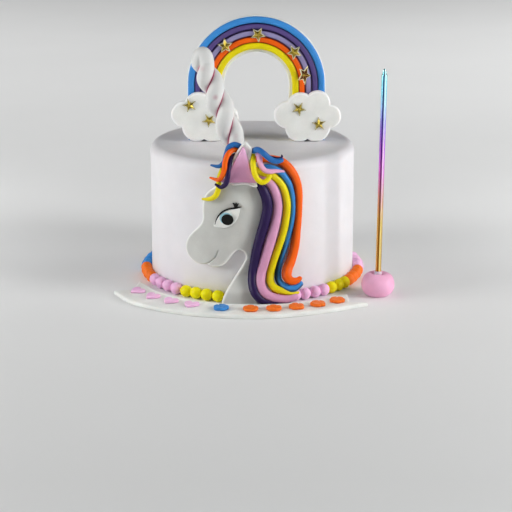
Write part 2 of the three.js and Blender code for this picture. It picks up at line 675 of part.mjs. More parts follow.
function eyePieces() {
  const layers = [
    { name: 'eye_white', colour: 'white', outline: smoothPoints(EYE.white, 20, true) },
    { name: 'eye_iris', colour: 'sky', outline: circleOutline(EYE.iris, 16) },
    { name: 'eye_pupil', colour: 'black', outline: circleOutline(EYE.pupil, 16) },
  ];
  layers.forEach(({ name, colour, outline }, i) => {
    const inner = HEAD.wallRadius + HEAD.thickness + GAP + i * (EYE.rise + GAP);
    const [bottom, top] = [50, 90];
    const geometry = wallPlate(
      outline, straightProfile(inner, bottom, top), straightProfile(inner + EYE.rise, bottom, top));
    addPiece(name, geometry, colour, 0.5);
  });
}

function earPieces() {
  const [bottom, top] = [90, 135];
  const { innerRadius, outer, outerThickness, inner, innerThickness } = EAR;
  const middle = innerRadius + outerThickness;
  const back = wallPlate(
    outer, straightProfile(innerRadius, bottom, top), straightProfile(middle, bottom, top));
  addPiece('ear_outer', back, 'white', 0.6);
  const innerBack = middle + GAP;
  const front = wallPlate(
    inner, straightProfile(innerBack, bottom, top), straightProfile(innerBack + innerThickness, bottom, top));
  addPiece('ear_inner', front, 'pink', 0.6);
}

// A lock of hair: a round rope along its route, its diameter changing from point to point.
function lockPiece(name, { colour, route }, { sides, stepLength }) {
  const curve = new THREE.CatmullRomCurve3(
    route.map(([s, z, r]) => new THREE.Vector3(s, z, r)), false, 'centripetal');
  const steps = Math.ceil(curve.getLength() / stepLength);
  const samples = [];
  for (let i = 0; i <= steps; i += 1) {
    const t = curve.getUtoTmapping(i / steps);
    const place = curve.getPoint(t);
    const at = t * (route.length - 1);
    const [from, to] = [Math.floor(at), Math.min(Math.floor(at) + 1, route.length - 1)];
    const size = THREE.MathUtils.lerp(route[from][3], route[to][3], at - from) / 2;
    const point = wallPoint(place.x, place.y, place.z);
    samples.push({ point, out: wallPoint(place.x, 0, 1), width: size, depth: size });
  }
  addPiece(name, sweep(samples, roundSection(sides), samples[0].width * 0.5), colour, 0.6);
}

function bannerPiece() {
  const { thickness, backEdge, frontEdge, leftNotch, rightNotch } = BANNER;
  const place = ([degrees, radius]) => {
    const angle = THREE.MathUtils.degToRad(degrees);
    return [radius * Math.sin(angle), -radius * Math.cos(angle)];
  };
  const steps = 22;
  const outline = [
    ...smoothPoints(frontEdge.map(place), steps),
    place(frontEdge.at(-1)),
    place(rightNotch),
    ...smoothPoints(backEdge.toReversed().map(place), steps),
    place(backEdge[0]),
    place(leftNotch),
  ];
  const geometry = new THREE.ExtrudeGeometry(shapeFromPoints(outline), {
    depth: thickness,
    bevelEnabled: false,
  });
  addPiece('banner', geometry, 'white', 0.55);
}

function heartShape(size) {
  const shape = new THREE.Shape();
  shape.moveTo(0, -0.95 * size);
  shape.bezierCurveTo(-0.5 * size, -0.45 * size, -size, -0.1 * size, -size, 0.35 * size);
  shape.bezierCurveTo(-size, 0.95 * size, -0.2 * size, 1.05 * size, 0, 0.5 * size);
  shape.bezierCurveTo(0.2 * size, 1.05 * size, size, 0.95 * size, size, 0.35 * size);
  shape.bezierCurveTo(size, -0.1 * size, 0.5 * size, -0.45 * size, 0, -0.95 * size);
  return shape;
}

function blossomShape(size) {
  const points = [];
  const petals = 5;
  const count = 4 * petals;
  for (let k = 0; k < count; k += 1) {
    const angle = (2 * Math.PI * k) / count;
    const reach = size * (0.82 + 0.18 * Math.cos(petals * angle));
    points.push([reach * Math.sin(angle), reach * Math.cos(angle)]);
  }
  return shapeFromPoints(points);
}

function ornamentPiece({ name, kind, colour, deg }) {
  const shape = kind === 'heart' ? heartShape(ORNAMENT.size) : blossomShape(ORNAMENT.size);
  const geometry = new THREE.ExtrudeGeometry(shape, {
    depth: ORNAMENT.thickness,
    bevelEnabled: false,
    curveSegments: 4,
  });
  const angle = THREE.MathUtils.degToRad(deg);
  const ornament = addPiece(name, geometry, colour, 0.55);
  ornament.position.set(
    ORNAMENT.ringRadius * Math.sin(angle), -ORNAMENT.ringRadius * Math.cos(angle), BANNER.thickness + GAP);
  ornament.rotation.z = angle;
}

function latheAt(profile, segments, x, y) {
  const geometry = new THREE.LatheGeometry(profile.map(([r, z]) => new THREE.Vector2(r, z)), segments);
  geometry.rotateX(Math.PI / 2);
  geometry.translate(x, y, 0);
  return geometry;
}

function candlePieces() {
  const { x, y, ballRadius, ballHeight, dimpleRadius, dimpleDepth } = CANDLE;
  const { cupRadius, cupHeight, cupBore, cupFloor, radius, shoulder, tipRadius, top, lean } = CANDLE;
  const cupBottom = ballHeight - dimpleDepth + GAP;
  const cupTop = cupBottom + cupHeight;
  const ball = [
    ...BALL_PROFILE.map(([across, up]) => [across * ballRadius, up * ballHeight]),
    [dimpleRadius + 0.6, ballHeight],
    [dimpleRadius - 0.8, ballHeight - dimpleDepth],
    [0, ballHeight - dimpleDepth],
  ];
  addPiece('icing_ball', latheAt(ball, 20, x, y), 'pink', 0.55);
  const bore = cupBottom + cupFloor;
  const cup = [
    [0, cupBottom],
    [cupRadius, cupBottom],
    [cupRadius, cupTop],
    [cupBore, cupTop],
    [cupBore, bore],
    [0, bore],
  ];
  addPiece('candle_cup', latheAt(cup, 14, x, y), 'white', 0.4);
  const foot = bore + GAP;
  const candle = [
    [0, foot],
    [radius, foot],
    [radius, shoulder],
    [tipRadius, shoulder + 1],
    [tipRadius * 0.7, top - 1],
    [0, top],
  ];
  const leaning = new THREE.Matrix4().makeShear(0, 0, 0, 0, lean, 0);
  const geometry = latheAt(candle, 14, 0, 0).translate(0, 0, -foot).applyMatrix4(leaning);
  geometry.translate(x, y, foot);
  addPiece('candle', geometry, 'gold', 0.2, 1);
}

cakeBody();
BEAD_RUNS.forEach(beadRun);
rainbowBacking();
rainbowBands();
CLOUDS.forEach(cloudPiece);
STARS.forEach(starPiece);
hornPiece();
headPlate();
eyePieces();
earPieces();
for (const [name, lock] of Object.entries(MANE)) {
  lockPiece(name, lock, LOCK_FINENESS.mane);
}
for (const [name, lock] of Object.entries(SHORT_LOCKS)) {
  lockPiece(name, lock, LOCK_FINENESS.short);
}
bannerPiece();
ORNAMENTS.forEach(ornamentPiece);
candlePieces();

export default cake;
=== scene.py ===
"""The looks of the birthday cake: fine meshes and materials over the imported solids.

Shapes are worked out in millimetres in the frame's axes (+Z up, the front faces -Y), and add_piece
turns them into metres. Everything on the cake's side is laid out on the unrolled wall: s runs round
it (millimetres at the cake's radius, 0 at the front), z runs up and r is the distance from the axis.
"""

import math
import random

import bmesh
import bpy
import numpy as np
from mathutils import Matrix, Vector, noise
from mathutils.geometry import delaunay_2d_cdt


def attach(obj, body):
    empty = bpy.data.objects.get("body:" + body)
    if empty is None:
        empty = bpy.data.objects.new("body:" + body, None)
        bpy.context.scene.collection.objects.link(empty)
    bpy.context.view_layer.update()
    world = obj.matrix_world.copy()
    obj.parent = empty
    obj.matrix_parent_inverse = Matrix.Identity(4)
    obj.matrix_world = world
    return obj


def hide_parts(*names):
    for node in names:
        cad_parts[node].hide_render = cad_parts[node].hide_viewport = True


MM = 0.001
SEED = 7

# -------------------------------- driving dimensions, in millimetres

# The side draws in a little and waves above the lower of two heights, fully above the higher one.
CAKE = {
    "radius": 82, "height": 109.5, "edge": 7, "foot": 1.2, "draw_in": 0.15, "wave": 0.3, "wave_size": 34,
    "waves_above": (20, 60),
}
GAP = 0.3
TOP = CAKE["height"] + GAP
# How far hand-shaped pieces stay above what they stand on, and how long the lumps in their skin are.
CLEAR = 0.02
LUMP_SIZE = 11

# The beads' radius; then the half length round the cake as a share of the step between two beads, the
# depth and the height of the centre as shares of the radius, how far a bead's size and place vary, and
# the size and depth of its lumps.
BEAD = {
    "radius": 4.4, "half_length": 0.515, "depth": 0.97, "centre": 0.985,
    "sizes": (1.06, 1.1), "shifts": (-0.3, 0), "turns": (-0.2, 0.2), "lumps": (5, 0.14),
}
BEAD_RING = CAKE["radius"] + GAP + BEAD["radius"]
# Runs of the bead border: node, angle of the first bead in degrees (0 = front, turning right), step
# to the next one, and the colours of its beads.
BEAD_RUNS = [
    ("beads_front_yellow", -36.5, 6.27, [("lemon", 4)]),
    ("beads_front_hidden", -11.6, 5.7, [("lemon", 1), ("blue", 2), ("tangerine", 3)]),
    ("beads_right_pink", 22.8, 5.9, [("rose", 4)]),
    ("beads_right_yellow", 46.1, 5.7, [("lemon", 3)]),
    ("beads_right_orange", 63.2, 5.8, [("tangerine", 4)]),
    ("beads_right_far_pink", 87, 6.1, [("rose", 4)]),
    ("beads_back", 112.5, 6, [
        ("lemon", 4), ("blue", 4), ("tangerine", 4), ("rose", 4), ("lemon", 4), ("tangerine", 3),
    ]),
    ("beads_left_blue", 249.9, 5.9, [("blue", 4)]),
    ("beads_left_orange", 273.4, 5.7, [("tangerine", 4)]),
    ("beads_left_pink", 296.7, 6.55, [("rose", 4)]),
]

# The bands' thickness varies by the wobbles, as shares of their depth and of their height.
RAINBOW = {
    "x": 3.3, "z": 154.5, "outer": 54.6, "pitch": 5.2, "front_y": 0.3, "depth": 4.5, "squareness": 0.74,
    "extra_half_depth": 0.1, "wobbles": (0.02, 0.015), "wobble_step": 0.09,
    "back_inner": 25.8, "back_rim": 0.6, "back_depth": 3, "back_edge": 0.9,
}
# Bands from the outside in: node and colour.
BANDS = [
    ("rainbow_blue", "blue"), ("rainbow_purple", "violet"), ("rainbow_lilac", "lilac"),
    ("rainbow_orange", "orange"), ("rainbow_yellow", "yellow"),
]
# Painted shade in the grooves beside three of the bands: its colours, and the part of a band's height
# that it takes.
SEAM_SHADES = {"violet": (0.016, 0.010, 0.085), "lilac": (0.06, 0.035, 0.12), "orange": (0.45, 0.035, 0.004)}
SEAM_FROM, SEAM_TO = 0.55, 0.9

# Painted highlight on the pale rims of the clouds and the head: distances from the outline between which
# it fades, and strength.
RIM_HIGHLIGHT = {"fades_from": 0.7, "cloud_to": 1.9, "head_to": 2.0, "strength": 0.7}

CLOUD = {
    "thickness": 6, "edge": 1.8, "back_edge": 1.4, "bottom": -20, "notch": 1.9, "notch_half": 3,
    "front_y": -6.2,
}
# Round lobes of a cloud: x, z and radius.
CLOUD_LOBES = [
    (17, 0.5, 9.7), (8, 11, 10), (-5.5, 7.8, 11.6), (-16, 1.3, 11), (-6, -8.4, 12.1), (6, -8.4, 12.1),
]
# Clouds: node, x and tilt in radians.
CLOUDS = [("cloud_left", -37.6, -0.05), ("cloud_right", 44.3, 0)]

# The waist, the wall and the lip are shares of the radius.
STAR = {
    "radius": 5.7, "waist": 0.45, "rim": 0.6, "height": 2.3, "wall": 0.16, "lip": 0.28, "lip_rise": 0.08,
    "softness": 0.13,
}
RAINBOW_FACE = RAINBOW["front_y"] - GAP
CLOUD_FACE = CLOUD["front_y"] - GAP
# Stars: node, x, z, spin in degrees, y of the back, turn in degrees, scale.
STARS = [
    ("star_rainbow_1", -21.4, 186, 6, RAINBOW_FACE, 0, 1.16),
    ("star_rainbow_2", 4.6, 195, 42, RAINBOW_FACE, 0, 1.16),
    ("star_rainbow_3", 33.4, 181, 28, RAINBOW_FACE, 0, 1.16),
    ("star_rainbow_4", 41.6, 163.6, 30, -5.6, -134, 1.4),
    ("star_cloud_1", -49.8, 139.6, 17, CLOUD_FACE, 0, 1.04),
    ("star_cloud_2", -34.4, 127.4, 30, CLOUD_FACE, 0, 1.04),
    ("star_cloud_3", 37.2, 136.7, 43, CLOUD_FACE, 0, 1.04),
    ("star_cloud_4", 53.2, 124.4, 6, CLOUD_FACE, 0, 1.04),
]

HORN = {
    "y": -70, "top": 197.4, "fold_z": 184, "strand": 6.2, "offset": 4.2, "thickest_z": 150,
    "thinning": 0.0001, "bend_z": 122, "bend_x": -13.6, "lean": 0.303, "lean_growth": 0.00121,
    "straight_above": 187, "twist_start": 0.621, "twist_per_mm": 0.0352, "twist_growth": 0.000273,
}
# Pink dust in the horn's grooves, darkened in their cores as painted shade, as a strong narrow and a faint
# wide band (strength, width), and the heights between which it fades at the fold; then the rubbed patches,
# by place, size and strength.
HORN_GROOVES = [(0.85, 0.7), (0.3, 2.2)]
HORN_FADE = (HORN["fold_z"] + 1.5, HORN["fold_z"] - 3)
HORN_SPOTS = [((-38.5, -80, 183), 2.4, 0.5), ((-27.5, -80, 160.5), 2.0, 0.3), ((-12.5, -80, 131), 2.6, 0.45)]

# The head lies on the wall and bends out over the beads between two heights. Its front swells away
# from the outline, and sinks toward the nape, under the mane.
HEAD = {
    "thickness": 6, "edge": 1.5, "wall_r": CAKE["radius"] + GAP, "bead_r": BEAD_RING + BEAD["radius"] + GAP,
    "bend": (10, 24), "sunk": 4.5, "sunk_within": 20, "swell": 0.4, "swell_within": 14,
}
THROAT = [
    (-20.9, GAP), (-18.7, 8.5), (-14.2, 18.8), (-9.9, 25.5), (-5.9, 33), (-4.9, 37), (-6.6, 40.6),
    (-9.6, 42.2), (-13, 40.3), (-16.6, 35.4), (-20.6, 30.8), (-25, 28.4), (-29.8, 28.1), (-33.8, 29.6),
]
MUZZLE = [
    (-33.8, 29.6), (-39.4, 28.9), (-45.6, 30.9), (-50.3, 35.3), (-51.9, 41.5), (-49.9, 48.6),
    (-45.4, 54.5), (-40, 59.8), (-37.3, 64.4), (-37, 73), (-36.3, 80.5), (-33.6, 86.4), (-27.8, 91.5),
    (-21.2, 94.9), (-13, 96.7), (-4, 96.7), (0.8, 95.4),
]
NAPE = [
    (0.8, 95.4), (4.4, 90.4), (8.0, 83.6), (9.4, 76), (8.4, 70), (5.8, 61), (3.0, 51), (0.4, 41),
    (-1.4, 29.5), (-2.2, 20), (-1, 12), (2.6, 5), (4.4, GAP),
]
SMILE = {"line": [(-24.7, 41.3), (-26.8, 36.1), (-31.0, 32.1), (-34.4, 29.4)], "width": 0.55, "depth": 1.1}

EYE_BASE = HEAD["wall_r"] + HEAD["thickness"]
EYE_RISE = 1.1
LASH_RISE = 1.6
EYE_WHITE = [
    (-27.4, 61.4), (-25, 67.4), (-21.6, 71.6), (-17, 74.6), (-12.6, 76.1), (-8.9, 76.4), (-9.3, 71),
    (-11.4, 66.4), (-14.6, 62.8), (-18.4, 60.9), (-22.8, 60.5),
]
# Round parts of the eye: s, z and radius.
IRIS = (-18.3, 68.5, 4.4)
PUPIL = (-16.9, 67.9, 4.2)
# Painted strokes as points (s, z, width).
LASH_LINE = [
    (-26.4, 63, 0.7), (-25.2, 67.1, 1), (-23.4, 70.5, 1.2), (-20.5, 73.6, 1.25), (-16.5, 75.7, 1.2),
    (-11.2, 76.8, 1.4), (-7.4, 77.8, 0.6),
]
LASHES = [
    [(-11.6, 77.6, 1.9), (-12.4, 79.2, 1.3), (-13.4, 80.6, 0.5)],
    [(-11.4, 77.6, 1.9), (-11.3, 79.4, 1.3), (-11.1, 80.9, 0.5)],
    [(-11.2, 77.6, 1.9), (-10.4, 79, 1.3), (-9.4, 80.2, 0.5)],
]

# The outer leaf has a raised rim, and the inner one is dished between two distances from its edge.
EAR = {
    "r": 88.9, "thickness": 2.0, "edge": 0.9, "rim": 1.1, "rim_in": 0.9, "rim_width": 1.0, "lowered": 0.2,
    "inner_r": 91, "inner_thickness": 2.3, "inner_edge": 0.8, "dish": 0.7, "dished_between": (0.4, 4.5),
}
EAR_OUTER = [
    (-14.2, 95.5), (-14, 104), (-13.2, 112), (-12.5, 117), (-9.8, 122.2), (-4.4, 129), (-1.8, 126),
    (0, 123.4), (-0.8, 116), (-0.6, 108), (1.2, 101), (3.6, 93.8), (-4.8, 95.5),
]
EAR_INNER = [
    (-21.2, 97.6), (-18.6, 100.4), (-16.2, 104.8), (-12.5, 112.4), (-8.5, 119.8), (-5.8, 125),
    (-3.8, 119.7), (-2, 112.8), (-0.3, 106.6), (1.4, 101.2), (3.4, 98), (-6, 97.8),
]
# The pink inside is made paler toward its tip by painted light, between two heights.
EAR_TIP_LIGHT = {"from_z": 108, "to_z": 121, "strength": 0.6}

# Locks of hair: colour and route (s, z, r, diameter).
MANE = {
    "mane_purple": ("purple", [
        (5.4, 94, 85.6, 5), (7.9, 90.2, 86.1, 7), (10.6, 83, 86.2, 7.5), (11.1, 75, 86.2, 7.5),
        (9.2, 65, 86.1, 7.4), (6.5, 55, 86, 7.3), (4.2, 46, 86, 7.1), (1.9, 33.2, 86, 6.9),
        (0.5, 24.5, 86.6, 6.7), (0.3, 17, 90.4, 6.6), (2.4, 10.2, 95, 6.4), (6.8, 5.2, 95.6, 5.8),
        (12, 3.4, 95.8, 4.4), (18, 3.2, 96.6, 2.8), (25.5, 3.4, 97, 1.6),
    ]),
    "mane_pink": ("pink", [
        (5.8, 99.8, 84.6, 3.4), (9.4, 98.4, 85.2, 4.6), (13, 95.2, 85.6, 6), (16.2, 89.8, 85.7, 6.6),
        (18.7, 80, 85.7, 6.7), (18.5, 72, 85.8, 6.9), (17.1, 64.6, 86, 7.1), (14.8, 55.3, 86.3, 7.6),
        (12.2, 45.9, 86.3, 7.7), (8.8, 33.8, 86.2, 7.4), (6.6, 25, 86.8, 7.3), (5.8, 17.6, 90.6, 7.2),
        (7.9, 11.6, 94.6, 6.9), (13.8, 7.2, 95.4, 6.5), (23, 5, 95.4, 6.2), (29.4, 6.4, 95.4, 5.2),
    ]),
    "mane_yellow": ("yellow", [
        (-1.2, 106, 84.6, 4.4), (2.8, 105.6, 84.8, 5), (7.2, 103.8, 84.6, 5.2), (11.4, 102, 84.7, 5.2),
        (15.6, 100.4, 84.9, 5.2), (20.6, 95.6, 85.2, 5.2), (23.9, 89.3, 85.2, 5.4), (26, 80, 85.2, 5.5),
        (25.8, 70.1, 85.2, 5.4), (23.7, 57.5, 85.2, 5.4), (20, 45.1, 85.2, 5.5), (15.8, 32.5, 85.2, 5.5),
        (13.6, 24, 86.2, 5.6), (13.1, 18, 89.2, 5.8), (15.6, 13.8, 93, 5.6), (24, 10.3, 94.4, 4.2),
        (29, 9.2, 94.8, 2.8), (31.8, 9.3, 94.8, 1.8),
    ]),
    "mane_blue": ("blue", [
        (6.6, 108, 84.2, 4.4), (14.4, 106.8, 85, 4.8), (20.9, 103.6, 85.3, 4.8), (27, 95.2, 85.4, 4.6),
        (29.6, 88, 85.1, 4.4), (31, 78, 84.7, 4.2), (31.1, 69.3, 84.4, 4.1), (29, 56.8, 83.8, 4.4),
        (25.4, 44.4, 83.4, 4.8), (21.5, 32, 83.2, 4.8), (19.7, 24, 84.4, 5), (19.5, 18, 88.4, 5.2),
        (23.2, 14.2, 93, 5.6), (28.6, 13.3, 95, 5.6), (33, 16.3, 95, 4.7),
    ]),
    "mane_orange": ("orange", [
        (4.4, 113.4, 81, 5.6), (15.4, 113, 81.6, 5.8), (21.6, 111.4, 83.4, 6.4), (26.2, 107.6, 85.2, 6.6),
        (30.6, 101.3, 86, 6.6), (33.5, 94, 86, 6.5), (35, 85, 85.8, 6.2), (35.3, 75.4, 85.4, 5.7),
        (34.9, 65, 85.4, 5.7), (33.8, 56.4, 85.8, 6.1), (32, 45, 86.6, 6.8), (28.8, 34, 87.6, 7.1),
        (25.3, 27.2, 89.6, 7.6), (24, 22.4, 93.2, 7.4), (26.2, 19.6, 95.8, 6.4), (29.6, 19.6, 96.8, 5),
        (32, 21.3, 97, 3.4),
    ]),
}
# The long locks are this much thicker than their routes say, and the short ones this much.
PLUMP, SHORT_PLUMP = 1.05, 1.02
# How dark the painted shade in the crease on the left of each long lock is, from 0 to 1, and the part of
# the lock's half width that it takes. Low on the blue lock a wider painted shadow lies, between these
# heights.
MANE_CREASE_SHADE = {
    "mane_purple": 0.2, "mane_pink": 0.3, "mane_yellow": 0.35, "mane_blue": 0.4, "mane_orange": 0.6,
}
CREASE_FROM, CREASE_TO = 0.35, 0.95
BLUE_SHADOW = {"from": -0.2, "to": 0.6, "bottom": (7, 14), "top": (60, 40), "strength": 0.69}
# Colours of the painted shade in the creases between the long locks.
CREASE_SHADES = {
    "purple": (0.006, 0.003, 0.02),
    "pink": (0.24, 0.075, 0.13),
    "yellow": (0.42, 0.28, 0.002),
    "blue": (0.006, 0.02, 0.05),
    "orange": (0.22, 0.02, 0.0),
}
SHORT_LOCKS = {
    "forelock_blue": ("deep_blue", [
        (-5.6, 119.8, 85.6, 3.4), (-8.4, 124, 86.4, 3.9), (-12, 126, 88.4, 4), (-15.6, 124.6, 90, 4),
        (-17.6, 119, 90.6, 3.8), (-19.2, 112.6, 91, 3.6), (-22.4, 109.4, 91.8, 3.1), (-28.1, 109.8, 92, 1.4),
    ]),
    "forelock_orange": ("orange", [
        (-6.6, 116.8, 85.8, 3.6), (-10.2, 121, 86.4, 3.8), (-13.4, 121.8, 89.8, 3.9), (-16, 119.2, 94, 3.9),
        (-17.4, 114.2, 95.6, 3.9), (-18, 108.4, 95.6, 3.9), (-19.2, 103.2, 95.6, 3.9),
        (-21.8, 99.8, 95.2, 3.3), (-28.2, 100.6, 94, 1.4),
    ]),
    "forelock_purple": ("purple", [
        (-8.4, 112.6, 85.8, 3.4), (-11.6, 117, 86.6, 3.6), (-14.2, 116.2, 90, 3.7), (-15.2, 111.6, 92, 3.8),
        (-15.7, 106.2, 94.6, 3.8), (-16, 100.8, 95.6, 3.8), (-17.6, 96.2, 95.5, 3.7), (-20.6, 94.2, 95.2, 3),
        (-24, 96, 95.2, 1.8),
    ]),
    "forelock_yellow": ("yellow", [
        (-21.4, 106.2, 87, 3.4), (-22.4, 101.6, 89.6, 4), (-22.8, 97.4, 91, 4.2), (-23.2, 92.4, 91, 4.2),
        (-24.5, 87.4, 91, 4.2), (-27.2, 84.2, 91, 3.8), (-30.8, 82.8, 91, 3), (-35.2, 82.4, 91, 1.6),
    ]),
    "top_lock_blue": ("deep_blue", [
        (-3.8, 115.6, 85.4, 3.6), (-0.6, 119.2, 85.6, 4.1), (2.2, 122, 89, 4.4), (4.6, 123, 93, 4.4),
        (7, 121.4, 95, 4.4), (10.1, 118, 95, 4.3), (13.3, 115.3, 95, 4.3), (16.6, 114.5, 95, 4.1),
        (19.6, 115.2, 94.8, 3.5),
    ]),
    "top_lock_pink": ("candy", [
        (4.4, 120.2, 86.6, 4), (5, 117.2, 90.2, 4.4), (5.4, 113.2, 92.4, 4.3), (6.9, 109.3, 93.4, 4),
        (9.2, 107, 93.6, 3.8), (12.4, 106.4, 93.8, 3.6), (16.4, 106.6, 93.8, 2.8), (21.6, 105.9, 93.6, 1.4),
    ]),
    "top_lock_yellow": ("yellow", [
        (0.4, 118.8, 86.4, 3.6), (0.8, 115.4, 90.4, 4), (0.9, 111, 94.4, 4.1), (1.8, 105.2, 95.8, 4.1),
        (4.1, 100.6, 95.9, 4.1), (6.8, 98.7, 95.8, 4.1), (9.8, 100.1, 95.4, 3.9), (11.8, 103, 94, 3.4),
    ]),
}
PURPLE_CURL = [
    (12.0, 117.2, 89, 1.2), (14.2, 116.6, 90, 1.5), (17.2, 116.0, 91.4, 1.6), (19.4, 116.4, 92.4, 1.6),
    (20.4, 117.4, 92.6, 1.4), (20.0, 118.4, 92.4, 1),
]

# A soft ridge runs along the banner's back edge; the rest of its top lies a little lower.
BANNER = {
    "thickness": 3.6, "edge": 1.3, "back_edge": 0.4, "lowered": 0.3, "ridge": 0.45, "ridge_in": 1.6,
    "ridge_width": 1.1832, "ridge_within": (6, 2),
}
# The banner's long edges and the notches in its ends, as (degrees from the front, distance).
BANNER_BACK = [(-67, 98), (-44, 98.6), (-15, 99.6), (15, 100), (35, 101.4), (45.5, 104.4)]
BANNER_FRONT = [(-59.5, 126), (-45, 129), (-22, 126.6), (5, 125), (28, 124.6), (43.5, 129.6)]
BANNER_NOTCHES = [(-57, 111.5), (39, 119)]

ORNAMENT = {"ring": 113, "size": 6, "thickness": 2, "edge": 0.9, "petal_depth": 0.16}
# Half a heart of size 1, from its notch to its tip.
HALF_HEART = [
    (0, 0.5), (0.2, 0.8), (0.55, 0.9), (0.9, 0.7), (1.0, 0.35), (0.85, -0.05), (0.5, -0.5), (0, -0.95),
]
HEART_DEGREES = [-53, -43.5, -34, -24.5]
BLUE_BLOSSOM_DEGREES = -12
BLOSSOM_DEGREES = [-0.5, 8.5, 17.5, 26.5, 35.5]

CANDLE = {
    "x": 98.7, "y": -64.6, "ball_radius": 13.1, "ball_height": 18.2, "dimple_radius": 4.6,
    "dimple_depth": 2.4, "cup_radius": 2.9, "cup_height": 3.6, "cup_bore": 2.6, "cup_floor": 0.8,
    "cup_edge": 0.4, "cup_rim": 0.15, "radius": 2.25, "shoulder": 174.6, "tip_radius": 1.5, "top": 179.6,
    "tip_round": 0.8, "lean": 0.0105, "ball_lumps": (12, 0.25),
}

# Colours of the candle from its foot (0) to its tip (1): its own colours in the middle, and the dark and
# bright streaks of painted reflection.
CANDLE_TONES = {
    "dark": [
        (0.35, (0.31, 0.11, 0.004)), (0.55, (0.22, 0.014, 0.18)), (0.66, (0.09, 0.008, 0.25)),
        (0.78, (0.016, 0.012, 0.26)), (0.88, (0.003, 0.04, 0.20)), (1.0, (0.02, 0.16, 0.42)),
    ],
    "middle": [
        (0.35, (0.78, 0.46, 0.12)), (0.44, (0.72, 0.33, 0.22)), (0.55, (0.74, 0.21, 0.68)),
        (0.66, (0.54, 0.17, 0.88)), (0.75, (0.42, 0.27, 1.0)), (0.82, (0.42, 0.56, 1.0)),
        (0.90, (0.30, 0.80, 1.0)), (1.0, (0.40, 0.96, 1.0)),
    ],
    "bright": [
        (0.33, (0.92, 0.72, 0.24)), (0.44, (0.95, 0.60, 0.66)), (0.55, (1.0, 0.56, 1.0)),
        (0.66, (0.96, 0.60, 1.0)), (0.75, (0.60, 0.57, 0.97)), (0.85, (0.55, 0.88, 1.0)),
        (1.0, (0.56, 0.94, 0.97)),
    ],
}
# The streaks of painted reflection: where they start and end, in degrees round the candle from its front,
# how wide their edges are, and after how many degrees they repeat.
REFLECTION_STREAKS = {"dark": (-28, -1), "bright": (4, 36), "edge": 6, "repeat": 120}

# The camera, in metres and degrees, stands in front of the cake and looks down on it; shift_x is a
# share of the picture's width.
CAMERA = {"place": (0.0036, -1.3512, 0.4134), "pitch_deg": 73.476, "lens": 120.8, "shift_x": -0.73 / 512}

# Linear colours of the icings and of the other finishes.
PALETTE = {
    "wall": (0.80, 0.785, 0.805),
    "white": (0.90, 0.91, 0.87),
    "horn": (0.74, 0.745, 0.73),
    # The head's icing: a greyer white, darker partly as painted shade on its front.
    "grey": (0.62, 0.625, 0.592),
    "pink": (0.70, 0.345, 0.545),
    "rose": (0.98, 0.56, 0.83),
    "candy": (0.93, 0.477, 0.69),
    "ear": (0.72, 0.345, 0.555),
    "blue": (0.052, 0.285, 0.71),
    "deep_blue": (0.024, 0.16, 0.48),
    "purple": (0.024, 0.010, 0.072),
    "violet": (0.11, 0.076, 0.25),
    "lilac": (0.31, 0.28, 0.49),
    "orange": (0.96, 0.135, 0.003),
    "tangerine": (1.0, 0.20, 0.018),
    "yellow": (0.85, 0.725, 0.003),
    # The beads' yellow, made brighter than the yellow icing: painted light in place of light from the board
    # below.
    "lemon": (1.0, 0.87, 0.003),
    # A painted highlight on the head's rim.
    "rim": (0.93, 0.94, 0.91),
    "sky": (0.36, 0.64, 0.74),
    "black": (0.004, 0.004, 0.003),
    "gold": (0.38, 0.29, 0.05),
    # Dark gold: painted shade in the stars' hollows. Pale gold: a painted highlight on their rims.
    "painted_shade_gold": (0.13, 0.035, 0.02),
    "painted_highlight_gold": (0.98, 0.92, 0.66),
    # The horn's pink dust, darkened in the cores of its grooves as painted shade.
    "dust_and_painted_light": (0.42, 0.035, 0.12),
    # A painted highlight on the clouds' rims.
    "cloud_rim_highlight": (1.0, 1.0, 0.99),
    "cup": (0.86, 0.78, 0.80),
    "cup_cloud": (0.80, 0.70, 0.74),
    "paper": (0.76, 0.767, 0.763),
    "far_paper": (0.94, 0.946, 0.942),
    "paper_cloud": (0.70, 0.71, 0.706),
}
# Icings of one colour all over, and colours that share the material slot of another one.
PLAIN = (
    "white", "rose", "candy", "blue", "deep_blue", "purple", "orange", "tangerine", "yellow", "lemon",
)
FAMILY = {
    "rose": "pink", "candy": "pink", "deep_blue": "blue", "violet": "purple", "tangerine": "orange",
    "lemon": "yellow",
}
# Amounts between which the second colour of an icing first covers it, and then darkens it as painted shade,
# down to a share.
DUST = {"covers": (0.02, 0.75), "darkens": (0.7, 1.0), "darkest": 0.45}

# The floor, in metres: pale paper that gets lighter from near_y, before the cake, to far_y, as painted light.
FLOOR = {"half": 6.0, "below": 0.0002, "near_y": -0.42, "far_y": 0.05}

